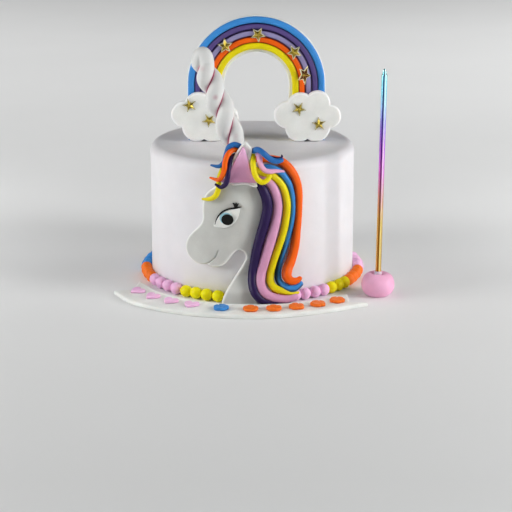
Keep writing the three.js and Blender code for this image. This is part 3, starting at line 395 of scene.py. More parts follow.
# Soft boxes: name, place and size in metres, power in watts, spread of their light in degrees, and
# how far out they aim, as a share of their own x. The first six light the cake from left, right and
# front. The ten others light the floor: behind the cake, far to its sides, far in front and beside it.
LIGHTS = [
    ("left_box", (-1.1, -0.34, 0.5), 0.5, 7.1, 180, 0),
    ("right_box", (1.1, -0.46, 0.5), 0.5, 9.1, 180, 0),
    ("left_low_box", (-0.85, -0.35, 0.18), 0.34, 0.55, 180, 0),
    ("right_low_box", (0.85, -0.35, 0.18), 0.34, 0.95, 180, 0),
    ("front_left_box", (-0.95, -0.75, 0.75), 0.6, 2.6, 180, 0),
    ("front_right_box", (0.95, -0.75, 0.75), 0.6, 2.6, 180, 0),
    ("back_left_box", (-1.2, 0.85, 0.75), 1.1, 2.1, 76, 0.55),
    ("far_left_box", (-1.2, 1.6, 0.75), 1.1, 2.2, 85, 0.55),
    ("back_right_box", (1.2, 0.85, 0.75), 1.1, 2.9, 76, 0.55),
    ("far_right_box", (1.2, 1.6, 0.75), 1.1, 2.3, 85, 0.55),
    ("beyond_left_box", (-1.4, 0, 0.9), 1.0, 12, 150, 1.8),
    ("beyond_right_box", (1.4, 0, 0.9), 1.0, 12, 150, 1.8),
    ("before_left_box", (-1.1, -2.1, 1.0), 1.4, 9, 115, 1.0),
    ("before_right_box", (1.1, -2.1, 1.0), 1.4, 9, 115, 1.0),
    ("floor_left_box", (-0.6, 0.12, 0.4), 0.25, 0.15, 55, 0.75),
    ("floor_right_box", (0.6, 0.12, 0.4), 0.25, 0.15, 55, 0.75),
]
AIM_HEIGHT = 0.05
# Brightness of the light tent's cloth near the floor and overhead, and the share left behind; then
# the parts of the way up and of the way back, from -1 to 1, over which it changes.
TENT = {"low": 0.05, "overhead": 0.14, "behind": 0.12, "upward": (0.25, 0.9), "backward": (-0.35, 0.45)}

# -------------------------------- lines and outlines


def smoothstep(low, high, value):
    t = np.clip((value - low) / (high - low), 0, 1)
    return t * t * (3 - 2 * t)


def bell(distance, width):
    """1 at no distance, falling smoothly to nothing beyond the width."""
    return np.exp(-((distance / width) ** 2))


def wall(s, z, r):
    """Points in space of places on the unrolled wall."""
    angle = np.asarray(s, float) / CAKE["radius"]
    return np.stack([r * np.sin(angle), -r * np.cos(angle), z + 0 * angle], axis=-1)


def from_front(degrees, radius):
    """(x, y) at an angle round the cake from its front, turning right."""
    angle = math.radians(degrees)
    return radius * math.sin(angle), -radius * math.cos(angle)


def smooth_curve(points, spacing, closed=False):
    """A smooth curve through the points, in even steps; columns after the third only follow along."""
    points = np.array(points, float)
    if closed:
        padded = np.vstack([points[-1:], points, points[:2]])
    else:
        padded = np.vstack([2 * points[0] - points[1], points, 2 * points[-1] - points[-2]])
    gaps = np.maximum(np.linalg.norm(np.diff(padded[:, :3], axis=0), axis=1), 1e-4) ** 0.5
    t = np.linspace(0, 1, 16, endpoint=False)[:, None]
    spans = []
    for k in range(len(padded) - 3):
        a, b, c, d = padded[k:k + 4]
        before, here, after = gaps[k:k + 3]
        leave = ((b - a) / before - (c - a) / (before + here) + (c - b) / here) * here
        arrive = ((c - b) / here - (d - b) / (here + after) + (d - c) / after) * here
        bend = (3 * (c - b) - 2 * leave - arrive) * t**2 + (2 * (b - c) + leave + arrive) * t**3
        spans.append(b + leave * t + bend)
    end = points[:1] if closed else points[-1:]
    line = even_steps(np.vstack([*spans, end]), spacing)
    return line[:-1] if closed else line


def even_steps(line, spacing):
    """The same line with its points an even distance apart, both ends kept."""
    lengths = np.linalg.norm(np.diff(line[:, :3], axis=0), axis=1)
    along = np.concatenate([[0], np.cumsum(lengths)])
    steps = max(2, math.ceil(along[-1] / spacing))
    places = np.linspace(0, along[-1], steps + 1)
    return np.stack([np.interp(places, along, column) for column in line.T], axis=1)


def straight(start, end, spacing):
    return even_steps(np.array([start, end], float), spacing)


def closed_outline(spacing, *parts):
    """One closed outline through corners and curves, with straight stretches where there are gaps."""
    parts = [np.atleast_2d(np.array(part, float)) for part in parts]
    stretches = []
    for part, following in zip(parts, parts[1:] + parts[:1]):
        stretches.append(part[:-1])
        if np.linalg.norm(following[0] - part[-1]) > 1e-6:
            stretches.append(straight(part[-1], following[0], spacing)[:-1])
    return np.vstack(stretches)


def counter_clockwise(outline):
    x, y = outline.T
    area = np.sum(x * np.roll(y, -1) - np.roll(x, -1) * y)
    return outline if area > 0 else outline[::-1]


def leftward(ahead):
    """Directions at a right angle to those in the rows, to their left."""
    left = np.stack([-ahead[:, 1], ahead[:, 0]], axis=1)
    return left / np.linalg.norm(left, axis=1)[:, None]


def distance_to(points, line, closed=False):
    """Distance from each point to the nearest place on a line."""
    starts = line if closed else line[:-1]
    ends = np.roll(line, -1, axis=0) if closed else line[1:]
    nearest = np.full(len(points), np.inf)
    for start, step in zip(starts, ends - starts):
        offset = points - start
        t = np.clip(offset @ step / max(step @ step, 1e-12), 0, 1)[:, None]
        nearest = np.minimum(nearest, np.linalg.norm(offset - t * step, axis=1))
    return nearest


def inside(points, outline):
    """True for the points within the outline."""
    x, y = points.T
    crossings = np.zeros(len(points), int)
    for (x0, y0), (x1, y1) in zip(outline, np.roll(outline, -1, axis=0)):
        if y0 != y1:
            spans = (y0 > y) != (y1 > y)
            crossings += spans & (x < x0 + (y - y0) * (x1 - x0) / (y1 - y0))
    return crossings % 2 == 1


# -------------------------------- solid shapes


def skin_over(rings, start, end):
    """A closed skin over a stack of rings, with one more point below the first and above the last.

    The rings turn counter-clockwise seen from the end.
    """
    sides, last = len(rings[0]), (len(rings) - 1) * len(rings[0])
    foot, tip = last + sides, last + sides + 1
    faces = []
    for k in range(sides):
        beside = (k + 1) % sides
        faces.append((foot, beside, k))
        faces.append((last + k, last + beside, tip))
        for ring in range(0, last, sides):
            faces.append((ring + k, ring + beside, ring + sides + beside, ring + sides + k))
    return np.vstack([*rings, [start], [end]]), faces


def sweep(centres, outs, widths, depths, section, cap=0.9):
    """A closed rope: the section [across, outward] at each centre, with a rounded end at both ends."""
    tangents = np.gradient(centres, axis=0)
    tangents /= np.linalg.norm(tangents, axis=1)[:, None]
    outward = outs - (outs * tangents).sum(1)[:, None] * tangents
    outward /= np.linalg.norm(outward, axis=1)[:, None]
    across = np.cross(tangents, outward)

    def ring(i, shift=0.0, shrink=1.0):
        wide = section[:, :1] * widths[i] * across[i]
        deep = section[:, 1:] * depths[i] * outward[i]
        return centres[i] + tangents[i] * shift * cap * widths[i] + shrink * (wide + deep)

    # The section turns clockwise seen from the rope's last centre, so the rings start there.
    turns = [math.radians(degrees) for degrees in (18, 36, 54, 72)] if cap else []
    rings = [ring(-1, math.sin(turn), math.cos(turn)) for turn in reversed(turns)]
    rings += [ring(i) for i in reversed(range(len(centres)))]
    rings += [ring(0, -math.sin(turn), math.cos(turn)) for turn in turns]
    ends = [centres[i] + side * tangents[i] * cap * widths[i] for i, side in ((-1, 1), (0, -1))]
    return skin_over(rings, *ends)


def round_section(sides):
    angles = np.linspace(0, 2 * math.pi, sides, endpoint=False)
    return np.stack([np.cos(angles), np.sin(angles)], axis=1)


def lathe(profile, segments, x=0.0, y=0.0):
    """A profile of (radius, z), from the axis up and back to the axis, turned round an upright axis."""
    circle = round_section(segments)
    rings = [np.column_stack([circle * radius + (x, y), np.full(segments, z)]) for radius, z in profile[1:-1]]
    return skin_over(rings, (x, y, profile[0][1]), (x, y, profile[-1][1]))


def arc(centre, radius, start_deg, end_deg, steps):
    """Points of a round stretch of an outline or a profile."""
    angles = np.radians(np.linspace(start_deg, end_deg, steps + 1))
    return np.stack([centre[0] + radius * np.cos(angles), centre[1] + radius * np.sin(angles)], axis=1)


def merged(shapes):
    """Several shapes as one."""
    faces, offset = [], 0
    for vertices, own_faces in shapes:
        faces += [tuple(k + offset for k in face) for face in own_faces]
        offset += len(vertices)
    return np.vstack([vertices for vertices, _ in shapes]), faces


def rounding(away, edge):
    """How far a rounded edge has dropped at a distance from the outline."""
    return edge - np.sqrt(np.maximum(edge**2 - np.maximum(edge - away, 0) ** 2, 0))


def flat_front(points, away):
    return 0


def plate(outline, thickness, edge, place, grid=1.2, back_edge=0.0, relief=flat_front, details=()):
    """A slab with rounded edges: place(points, height) puts its outline's plane into space.

    relief(points, distance from the edge) raises or lowers the front, and details are lines in the
    plane that get finer faces beside them.
    """
    outline = counter_clockwise(outline)
    inward = leftward(np.roll(outline, -1, axis=0) - np.roll(outline, 1, axis=0))
    # Loops of points along the rounded edge and just inside it: how far in, and how close to the
    # outline a point may come, as a share of that, before it is left out.
    loops = [(edge * (1 - math.cos(math.radians(degrees))), 0.92) for degrees in (22, 40, 56, 72, 90)]
    loops.append((edge + grid * 0.8, 0.96))
    flat = [outline]
    for offset, share in loops:
        ring = outline + inward * offset
        keep = inside(ring, outline) & (distance_to(ring, outline, True) > offset * share - 1e-6)
        flat.append(ring[keep])
    # Rows of points over the rest, each half a step beside the one before.
    low, high = outline.min(0), outline.max(0)
    field = np.array([
        (x, y)
        for row, y in enumerate(np.arange(low[1], high[1], grid * 0.87))
        for x in np.arange(low[0] + (row % 2) * grid / 2, high[0], grid)
    ])
    field = field[inside(field, outline)]
    field = field[distance_to(field, outline, True) > edge + grid * 1.3]
    for line in details:
        field = field[distance_to(field, line) > grid]
        beside = leftward(np.gradient(line, axis=0))
        for offset in np.linspace(-0.95, 0.95, 9) * grid:
            row = line + beside * offset
            row = row[inside(row, outline)]
            flat.append(row[distance_to(row, outline, True) > edge * 0.4])
    points = [Vector(p) for p in np.vstack([*flat, field]).tolist()]
    loop = list(range(len(outline)))
    found, _, triangles, origins, _, _ = delaunay_2d_cdt(points, [], [loop], 1, 1e-4)
    found = np.array([tuple(p) for p in found])
    new_index = {old: new for new, olds in enumerate(origins) for old in olds}
    border = [new_index[k] for k in loop]
    away = distance_to(found, outline, True)
    away[border] = 0
    rise = thickness - rounding(away, edge) + relief(found, away)
    vertices = np.vstack([place(found, rise), place(found, rounding(away, back_edge))])
    size = len(found)
    faces = [tuple(t) for t in triangles]
    faces += [(a + size, c + size, b + size) for a, b, c in triangles]
    faces += [(b, a, a + size, b + size) for a, b in zip(border, border[1:] + border[:1])]
    return vertices, faces


def lumps(vertices, size, amount, seed=0.0):
    """Uneven softness of hand-made shapes: a smooth shift of each point, at most about amount."""
    shift = [noise.noise_vector(Vector(v) / size + Vector((seed, seed, seed))) for v in vertices.tolist()]
    return vertices + amount * np.array([tuple(v) for v in shift])


# -------------------------------- materials


class Nodes:
    """Short calls for building the node tree of a material, or of the world."""

    def __init__(self, owner, output="OutputMaterial", shader="BsdfPrincipled", place="Object"):
        owner.use_nodes = True
        self.owner = owner
        self.tree = owner.node_tree
        self.tree.nodes.clear()
        self.shader = self.add(shader)
        self.add(output, Surface=self.shader.outputs[0])
        self.place = self.add("TexCoord").outputs[place]

    def put(self, value, socket):
        """Links a socket to another one, or sets it to a number, a vector or a colour."""
        if isinstance(value, bpy.types.NodeSocket):
            self.tree.links.new(value, socket)
        else:
            socket.default_value = (*value, 1) if socket.type == "RGBA" else value

    def feed(self, node, **inputs):
        for name, value in inputs.items():
            self.put(value, node.inputs[name.replace("_", " ")])
        return node

    def add(self, kind, **inputs):
        return self.feed(self.tree.nodes.new("ShaderNode" + kind), **inputs)

    def axis(self, name):
        """One coordinate of the place on the piece."""
        return self.add("SeparateXYZ", Vector=self.place).outputs[name]

    def noise(self, size_mm, detail=2.0, roughness=0.5):
        """Soft noise whose spots are about size_mm across."""
        scale = 1 / (size_mm * MM)
        node = self.add("TexNoise", Vector=self.place, Scale=scale, Detail=detail, Roughness=roughness)
        return node.outputs["Fac"]

    def spread(self, value, low, high, to_low=0.0, to_high=1.0, smooth=False):
        """The value's stretch from low to high, stretched to reach from to_low to to_high."""
        node = self.add("MapRange", Value=value, From_Min=low, From_Max=high, To_Min=to_low, To_Max=to_high)
        if smooth:
            node.interpolation_type = "SMOOTHSTEP"
        return node.outputs["Result"]

    def patches(self, size_mm, low=0.0, high=1.0, detail=3.0):
        """Wanders between low and high in spots about size_mm across."""
        return self.spread(self.noise(size_mm, detail), 0.3, 0.7, low, high)

    def mix(self, factor, a, b):
        """Colour between a and b; each is a colour or a socket."""
        node = self.add("Mix")
        node.data_type = "RGBA"
        for value, index in ((factor, 0), (a, 6), (b, 7)):
            self.put(value, node.inputs[index])
        return node.outputs[2]

    def joined(self, operation, a, b):
        """The sum or product of two values."""
        node = self.add("Math")
        node.operation = operation
        self.put(a, node.inputs[0])
        self.put(b, node.inputs[1])
        return node.outputs[0]

    def attribute(self, name):
        node = self.add("Attribute")
        node.attribute_name = name
        return node.outputs["Fac"]

    def ramp(self, value, stops):
        node = self.add("ValToRGB", Fac=value)
        while len(node.color_ramp.elements) < len(stops):
            node.color_ramp.elements.new(1)
        for element, (position, colour) in zip(node.color_ramp.elements, stops):
            element.position = position
            element.color = (*colour, 1)
        return node.outputs["Color"]

    def bump(self, height, distance_mm, strength, **below):
        node = self.add("Bump", Height=height, Distance=distance_mm * MM, Strength=strength, **below)
        return node.outputs["Normal"]


def new_material(name):
    return Nodes(bpy.data.materials.new(name))


def shade(colour, factor):
    return tuple(min(1.0, c * factor) for c in colour)


def icing(name, colour, tone=0.06, roughness=(0.36, 0.5), grain=0.035, waves=0.25, dust_and_painted_light=None):
    """Sugar paste: a soft satin skin with a fine grain, faint smears of tone and shallow waves.

    Where the piece's own values say so, a second colour covers it: pink dust rubbed into the horn, a painted
    highlight on a rim or toward a tip, and painted shade in a seam, a crease or the core of a groove.
    """
    n = new_material(name)
    fine = n.noise(0.9, 3, 0.6)
    skin = n.mix(n.patches(14), shade(colour, 1 - tone), shade(colour, 1 + tone))
    skin = n.mix(n.spread(fine, 0.35, 0.75, 0, 0.35), skin, shade(colour, 1 - 1.6 * tone))
    if dust_and_painted_light:
        amount = n.attribute("dust_and_painted_light")
        skin = n.mix(n.spread(amount, *DUST["covers"]), skin, dust_and_painted_light)
        skin = n.mix(n.spread(amount, *DUST["darkens"]), skin, shade(dust_and_painted_light, DUST["darkest"]))
    waved = n.bump(n.noise(9), waves, 0.5)
    n.feed(
        n.shader, Base_Color=skin, Roughness=n.patches(3.2, *roughness),
        Normal=n.bump(fine, grain, 0.6, Normal=waved), Specular_IOR_Level=0.22,
        Subsurface_Weight=0.12, Subsurface_Scale=0.0012, Subsurface_Radius=(1.0, 0.7, 0.6),
    )
    return n.owner


def metal(name, colour, roughness, metallic=1.0):
    """Bright moulded plastic with a metal coat: small scratches and duller patches."""
    n = new_material(name)
    patches = n.noise(2.2, 3)
    tinted = n.mix(n.spread(patches, 0.35, 0.7), shade(colour, 1.15), shade(colour, 0.8))
    n.feed(
        n.shader, Base_Color=tinted, Metallic=metallic, Roughness=n.spread(patches, 0.3, 0.7, *roughness),
        Normal=n.bump(n.noise(0.6), 0.03, 0.5),
    )
    return n.owner


def candle_material():
    """Metal-coated wax, gold at the foot to light blue at the tip, with painted dark and bright reflections.
    """
    n = new_material("candle_metallic")
    height = n.spread(n.axis("Z"), 0, CANDLE["top"] * MM)
    height = n.joined("ADD", height, n.spread(n.noise(4), 0, 1, -0.012, 0.012))
    dark, middle, bright = (n.ramp(height, CANDLE_TONES[k]) for k in ("dark", "middle", "bright"))
    painted_reflection = n.attribute("painted_reflection")
    colour = n.mix(n.spread(painted_reflection, -1, 0), dark, middle)
    n.feed(
        n.shader, Base_Color=n.mix(n.spread(painted_reflection, 0, 1), colour, bright),
        Metallic=n.spread(painted_reflection, 0.2, 1, 1, 0.1), Roughness=n.patches(1.5, 0.14, 0.24),
        Normal=n.bump(n.noise(6), 0.03, 0.3),
    )
    return n.owner


def cup_material():
    """Thin milky plastic, faintly cloudy."""
    n = new_material("cup_white")
    n.feed(
        n.shader, Base_Color=n.mix(n.patches(1.4, detail=2), PALETTE["cup"], PALETTE["cup_cloud"]),
        Roughness=n.patches(0.8, 0.18, 0.32, 2), Normal=n.bump(n.noise(0.7), 0.02, 0.5),
        Subsurface_Weight=0.5, Subsurface_Scale=0.001, Coat_Weight=0.3,
    )
    return n.owner


def paper_material():
    """Pale matt paper, faintly cloudy, made lighter toward the back as painted light."""
    n = new_material("pale_floor")
    backward = n.spread(n.axis("Y"), FLOOR["near_y"], FLOOR["far_y"])
    paper = n.mix(backward, PALETTE["paper"], PALETTE["far_paper"])
    cloudy = n.mix(n.patches(260, 0, 0.1), paper, PALETTE["paper_cloud"])
    n.feed(n.shader, Base_Color=cloudy, Roughness=0.8, Specular_IOR_Level=0.1)
    return n.owner


def make_materials():
    """All finishes by name; some icings show a second colour where their own values say: pink dust, painted
    light and painted shade.
    """
    finishes = {colour: icing(f"icing_{colour}", PALETTE[colour]) for colour in PLAIN}
    # Painted shade in the creases of the mane and in the grooves of the rainbow.
    for kind, shadows in (("mane", CREASE_SHADES), ("rope", SEAM_SHADES)):
        for colour, shadow in shadows.items():
            finishes[f"{colour}_{kind}"] = icing(f"icing_{colour}_{kind}", PALETTE[colour], dust_and_painted_light=shadow)
    # Painted highlights on the rims of the clouds and the head, and painted light on the ear's tip.
    for kind, colour, painted_light_colour in (
        ("cloud", "white", "cloud_rim_highlight"), ("ear", "ear", "rose"), ("head", "grey", "rim"),
    ):
        finishes[kind] = icing(f"icing_{kind}", PALETTE[colour], dust_and_painted_light=PALETTE[painted_light_colour])
    finishes["cake"] = icing("icing_cake_wall", PALETTE["wall"], tone=0.02, waves=0.35, grain=0.02)
    finishes["horn"] = icing("icing_horn", PALETTE["horn"], tone=0.03, dust_and_painted_light=PALETTE["dust_and_painted_light"])
    finishes["sky"] = icing("eye_sky_blue", PALETTE["sky"], tone=0.05, roughness=(0.3, 0.42), grain=0.015)
    finishes["black"] = icing("eye_black", PALETTE["black"], tone=0.3, roughness=(0.4, 0.55), grain=0.02)
    finishes["gold"] = metal("star_gold", PALETTE["gold"], (0.26, 0.38))
    finishes["painted_shade_gold"] = metal("star_inside", PALETTE["painted_shade_gold"], (0.45, 0.6))
    finishes["painted_highlight_gold"] = metal("star_rim", PALETTE["painted_highlight_gold"], (0.3, 0.45), 0.3)
    finishes["candle"] = candle_material()
    finishes["cup"] = cup_material()
    return finishes


# -------------------------------- the pieces


def new_object(name, data):
    made = bpy.data.objects.new(name, data)
    bpy.context.scene.collection.objects.link(made)
    return made


def add_piece(name, shape, finish, slot, *nodes, soft=0.0, others=(), of_faces=None, flat=False):
    """Makes a mesh of a shape in millimetres ride on the frame, in place of the named solids.

    soft says how uneven it is, others are its further finishes, and of_faces is which one a face has.
    """
    vertices, faces = shape
    if soft:
        vertices = lumps(vertices, LUMP_SIZE, soft, seed=len(name) * 0.37)
    mesh = bpy.data.meshes.new(name)
    mesh.from_pydata((vertices * MM).tolist(), [], faces)
    mesh.validate()
    mesh.update()
    for each in (finish, *others):
        mesh.materials.append(FINISH[each])
    if of_faces is not None:
        mesh.polygons.foreach_set("material_index", of_faces)
    mesh.polygons.foreach_set("use_smooth", [not flat] * len(mesh.polygons))
    piece = new_object(name, mesh)
    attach(piece, "root")
    if nodes:
        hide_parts(*nodes)
    return piece


def slot_of(colour):
    return "icing_" + FAMILY.get(colour, colour)


def add_values(piece, name, values):
    """Gives each vertex of a piece a number that its material reads."""
    attribute = piece.data.attributes.new(name, "FLOAT", "POINT")
    attribute.data.foreach_set("value", values.astype(np.float32))


def add_rim_highlight(piece, points, outline, reach):
    """Paints a highlight on the outermost stretch of a cut-out; points are its vertices in the outline's
    plane.
    """
    away = distance_to(points, outline, True)
    add_values(piece, "dust_and_painted_light", RIM_HIGHLIGHT["strength"] * smoothstep(reach, RIM_HIGHLIGHT["fades_from"], away))


def make_cake():
    """The iced cake: upright sides and a soft round edge, very slightly uneven toward the top."""
    radius, height, edge, foot = (CAKE[k] for k in ("radius", "height", "edge", "foot"))
    profile = np.vstack([
        [(0, 0)],
        straight((3, 0), (radius - foot, 0), 6)[:-1],
        arc((radius - foot, foot), foot, -90, 0, 4),
        straight((radius, foot), (radius, height - edge), 2.4)[1:-1],
        arc((radius - edge, height - edge), edge, 0, 90, 16),
        straight((radius - edge, height), (2, height), 2.4)[1:],
        [(0, height)],
    ])
    vertices, faces = lathe(profile, 288)
    high = smoothstep(*CAKE["waves_above"], vertices[:, 2])
    wave = np.array([noise.noise(Vector(v) / CAKE["wave_size"]) for v in vertices.tolist()])
    outward = vertices * (1, 1, 0) / (np.linalg.norm(vertices[:, :2], axis=1)[:, None] + 1e-6)
    vertices = vertices - outward * ((CAKE["draw_in"] + CAKE["wave"] * wave) * high)[:, None]
    add_piece("iced_cake", (vertices, faces), "cake", "icing_white", "cake_body")


def ball_shape(centre, outward, half_across, half_out, half_up):
    """An egg-shaped ball whose across axis runs round the cake."""
    vertices, faces = lathe(arc((0, 0), 1, -90, 90, 16), 28)
    across = np.array([outward[1], -outward[0], 0])
    axes = np.array([half_across * across, half_out * outward, (0, 0, half_up)])
    return centre + vertices @ axes, faces


def make_beads():
    """Balls of icing rolled by hand: each one a little different, flat where it stands."""
    chance = random.Random(SEED)
    for node, degrees, step, colours in BEAD_RUNS:
        names = list(dict(colours))
        half_across = BEAD_RING * math.radians(step) * BEAD["half_length"]
        balls, of_faces = [], []
        for colour in [colour for colour, count in colours for _ in range(count)]:
            outward = np.array([*from_front(degrees + chance.uniform(*BEAD["turns"]), 1), 0])
            size = BEAD["radius"] * chance.uniform(*BEAD["sizes"])
            centre = outward * (BEAD_RING + chance.uniform(*BEAD["shifts"])) + (0, 0, size * BEAD["centre"])
            ball, faces = ball_shape(centre, outward, half_across, size * BEAD["depth"], size)
            ball = lumps(ball, *BEAD["lumps"], seed=degrees * 1.7)
            ball[:, 2] = np.maximum(ball[:, 2], CLEAR)
            balls.append((ball, faces))
            of_faces += [names.index(colour)] * len(faces)
            degrees += step
        slot = slot_of(names[0])
        add_piece(f"{node}_balls", merged(balls), names[0], slot, node, others=names[1:], of_faces=of_faces)


def upright(back_y):
    """Puts an outline in (x, z) into space facing -Y; heights count from its back."""
    return lambda points, heights: np.stack([points[:, 0], back_y - heights, points[:, 1]], axis=1)


def arch_outline(outer, inner, spacing):
    """The closed outline of an arch on the cake, out to one radius and in to another."""
    x, z = RAINBOW["x"], RAINBOW["z"]
    over = arc((x, z), outer, 0, 180, math.ceil(math.pi * outer / spacing))
    under = arc((x, z), inner, 180, 0, math.ceil(math.pi * inner / spacing))
    feet = [(x + reach, TOP) for reach in (outer, -outer, -inner, inner)]
    return closed_outline(spacing, feet[0], over, feet[1], feet[2], under, feet[3])


def make_rainbow():
    """Five ropes of icing bent over one another on a white back plate, with painted shade in the grooves
    beside three of them.
    """
    x, z, outer, pitch, depth, front = (RAINBOW[k] for k in ("x", "z", "outer", "pitch", "depth", "front_y"))
    thickness, back_edge = RAINBOW["back_depth"] + GAP, RAINBOW["back_edge"]
    outline = arch_outline(outer + RAINBOW["back_rim"], RAINBOW["back_inner"], 1.0)
    place = upright(front + depth + thickness)
    shape = plate(outline, thickness, back_edge, place, grid=2.4, back_edge=back_edge)
    add_piece("rainbow_back_plate", shape, "white", "icing_white", "rainbow_backing", soft=0.12)
    section = round_section(28)
    section = np.sign(section) * np.abs(section) ** RAINBOW["squareness"]
    # Painted shade in the grooves beside a band, toward the edges of its section.
    painted_seam_shade = smoothstep(SEAM_FROM, SEAM_TO, np.abs(section[:, 1]))
    for index, (node, colour) in enumerate(BANDS):
        radius = outer - pitch * (index + 0.5)
        line = np.vstack([
            straight((x - radius, TOP), (x - radius, z), 2)[:-1],
            arc((x, z), radius, 180, 0, 96),
            straight((x + radius, z), (x + radius, TOP), 2)[1:],
        ])
        centres = upright(front + depth / 2)(line, 0 * line[:, 0])
        outs = centres - (x, front + depth / 2, z)
        outs[line[:, 1] <= z] *= (1, 1, 0)
        steps = np.arange(len(line)) * RAINBOW["wobble_step"]
        wobble = np.array([noise.noise(Vector((index * 9.1, step, 0))) for step in steps])
        wide, high = (1 + share * wobble for share in RAINBOW["wobbles"])
        widths = wide * (depth / 2 + RAINBOW["extra_half_depth"])
        shape = sweep(centres, outs, widths, high * pitch / 2, section, cap=0)
        finish = colour + "_rope" if colour in SEAM_SHADES else colour
        rope = add_piece(f"{node}_rope", shape, finish, slot_of(colour), node)
        add_values(rope, "dust_and_painted_light", np.concatenate([np.tile(painted_seam_shade, len(line)), [0, 0]]))


def cloud_outline(tilt, count=220):
    """The far side of the lobes in each direction, tilted and cut straight where it stands."""
    outline = []
    for angle in np.linspace(0, 2 * math.pi, count + 1):
        dx, dz = math.cos(angle), math.sin(angle)
        reach = 0
        for x, z, radius in CLOUD_LOBES:
            beside = x * dz - z * dx
            if abs(beside) < radius:
                reach = max(reach, x * dx + z * dz + math.sqrt(radius**2 - beside**2))
        u, v = reach * dx, reach * dz
        bottom = CLOUD["bottom"] + CLOUD["notch"] * max(0, 1 - abs(u) / CLOUD["notch_half"])
        height = u * math.sin(tilt) + v * math.cos(tilt)
        outline.append((u * math.cos(tilt) - v * math.sin(tilt), max(height, bottom)))
    return even_steps(np.array(outline), 0.7)[:-1]


def make_clouds():
    """Thick cut-outs with soft edges, made paler by a painted highlight."""
    thickness, edge, back_edge = (CLOUD[k] for k in ("thickness", "edge", "back_edge"))
    for node, x, tilt in CLOUDS:
        outline = cloud_outline(tilt) + (x, TOP - CLOUD["bottom"])
        place = upright(CLOUD["front_y"] + thickness)
        shape = plate(outline, thickness, edge, place, grid=1.4, back_edge=back_edge)
        cloud = add_piece(f"{node}_cutout", shape, "cloud", "icing_white", node, soft=0.12)
        add_rim_highlight(cloud, shape[0][:, (0, 2)], outline, RIM_HIGHLIGHT["cloud_to"])


def star_shape():
    """A hollow five-pointed star with ridges on its front; its open back lies in the plane y = 0."""
    rim, height, inner = STAR["rim"], STAR["height"], 1 - STAR["wall"]
    corners = round_section(10)[:, ::-1] * STAR["radius"]
    corners[1::2] *= STAR["waist"]
    # Rings of corners: the back edge, the front edge, the mouth of the hollow, and the lip's inner side.
    rings = [(1, 0), (1, -rim), (inner, 0), (1 - STAR["lip"], -rim - STAR["lip_rise"])]
    vertices = [(x * scale, y, z * scale) for scale, y in rings for x, z in corners]
    vertices += [(0, -height, 0), (0, -height * inner + rim, 0)]
    faces = []
    for k in range(10):
        following = (k + 1) % 10
        faces.append((k, following, following + 10, k + 10))
        faces.append((k + 10, following + 10, following + 30, k + 30))
        faces.append((k + 30, following + 30, 40))
        faces.append((k, k + 20, following + 20, following))
        faces.append((k + 20, 41, following + 20))
    return np.array(vertices), faces


def make_stars():
    """Small gold stars, pressed on, with a painted highlight on their rims, narrow bright ridges and hollows
    darkened as painted shade.
    """
    for node, x, z, spin, y, turn, scale in STARS:
        vertices, faces = star_shape()
        spun = Matrix.Rotation(-math.radians(spin), 3, "Y")
        turned = np.array(Matrix.Rotation(math.radians(turn), 3, "Z") @ spun)
        star = add_piece(
            f"{node}_gold", (scale * vertices @ turned.T + (x, y, z), faces), "gold", "star_gold", node,
            others=("painted_shade_gold", "painted_highlight_gold"), of_faces=[2, 2, 0, 2, 1] * 10, flat=True,
        )
        soften_edges(star, STAR["softness"])


def soften_edges(piece, width_mm):
    """Turns every edge of a small faceted piece into a narrow round one."""
    work = bmesh.new()
    work.from_mesh(piece.data)
    bmesh.ops.recalc_face_normals(work, faces=work.faces)
    bmesh.ops.bevel(work, geom=work.edges[:], offset=width_mm * MM, segments=2, affect="EDGES", profile=0.6)
    work.to_mesh(piece.data)
    work.free()


def horn_line(z):
    """Middle line of the horn at heights z, and the direction from one strand to the other there."""
    rise = np.minimum(z, HORN["straight_above"]) - HORN["bend_z"]
    x = HORN["bend_x"] - HORN["lean"] * rise - HORN["lean_growth"] * rise**2
    rise = z - HORN["bend_z"]
    twist = math.pi * (HORN["twist_start"] + HORN["twist_per_mm"] * rise + HORN["twist_growth"] * rise**2)
    return np.stack([x, np.full_like(x, HORN["y"]), z], axis=1), twist


def horn_strand(side):
    """Middle line of one strand from the cake up to the fold, and its thickness."""
    z = np.linspace(TOP - 2, HORN["fold_z"], 90)
    middle, twist = horn_line(z)
    size = 1 - HORN["thinning"] * (z - HORN["thickest_z"]) ** 2
    shift = side * HORN["offset"] * size
    line = middle + np.stack([shift * np.cos(twist), shift * np.sin(twist), 0 * z], axis=1)
    return line, HORN["strand"] * size


def make_horn():
    """One thick rope of icing, folded at the top and twisted, with pink dust rubbed into its grooves,
    darkened in their cores as painted shade.
    """
    left, left_size = horn_strand(-1)
    right, right_size = horn_strand(1)
    middle, twist = horn_line(np.array([HORN["fold_z"]]))
    reach = HORN["offset"] * left_size[-1] / HORN["strand"]
    climb = HORN["top"] - HORN["fold_z"] - left_size[-1]
    turns = np.linspace(math.pi, 0, 15)[1:-1]
    across = np.array([math.cos(twist[0]), math.sin(twist[0]), 0])
    fold = middle + np.outer(reach * np.cos(turns), across) + np.outer(climb * np.sin(turns), (0, 0, 1))
    centres = np.vstack([left, fold, right[::-1]])
    size = np.concatenate([left_size, np.full(len(fold), left_size[-1]), right_size[::-1]])
    side = np.tile((0.0, -1.0, 0.0), (len(centres), 1))
    vertices, faces = sweep(centres, side, size, size, round_section(32), cap=0)
    vertices[:, 2] = np.maximum(vertices[:, 2], TOP + CLEAR)
    horn = add_piece("horn_rope", (vertices, faces), "horn", "icing_white", "horn")
    fuse(horn)
    add_horn_dust(horn, left, right)


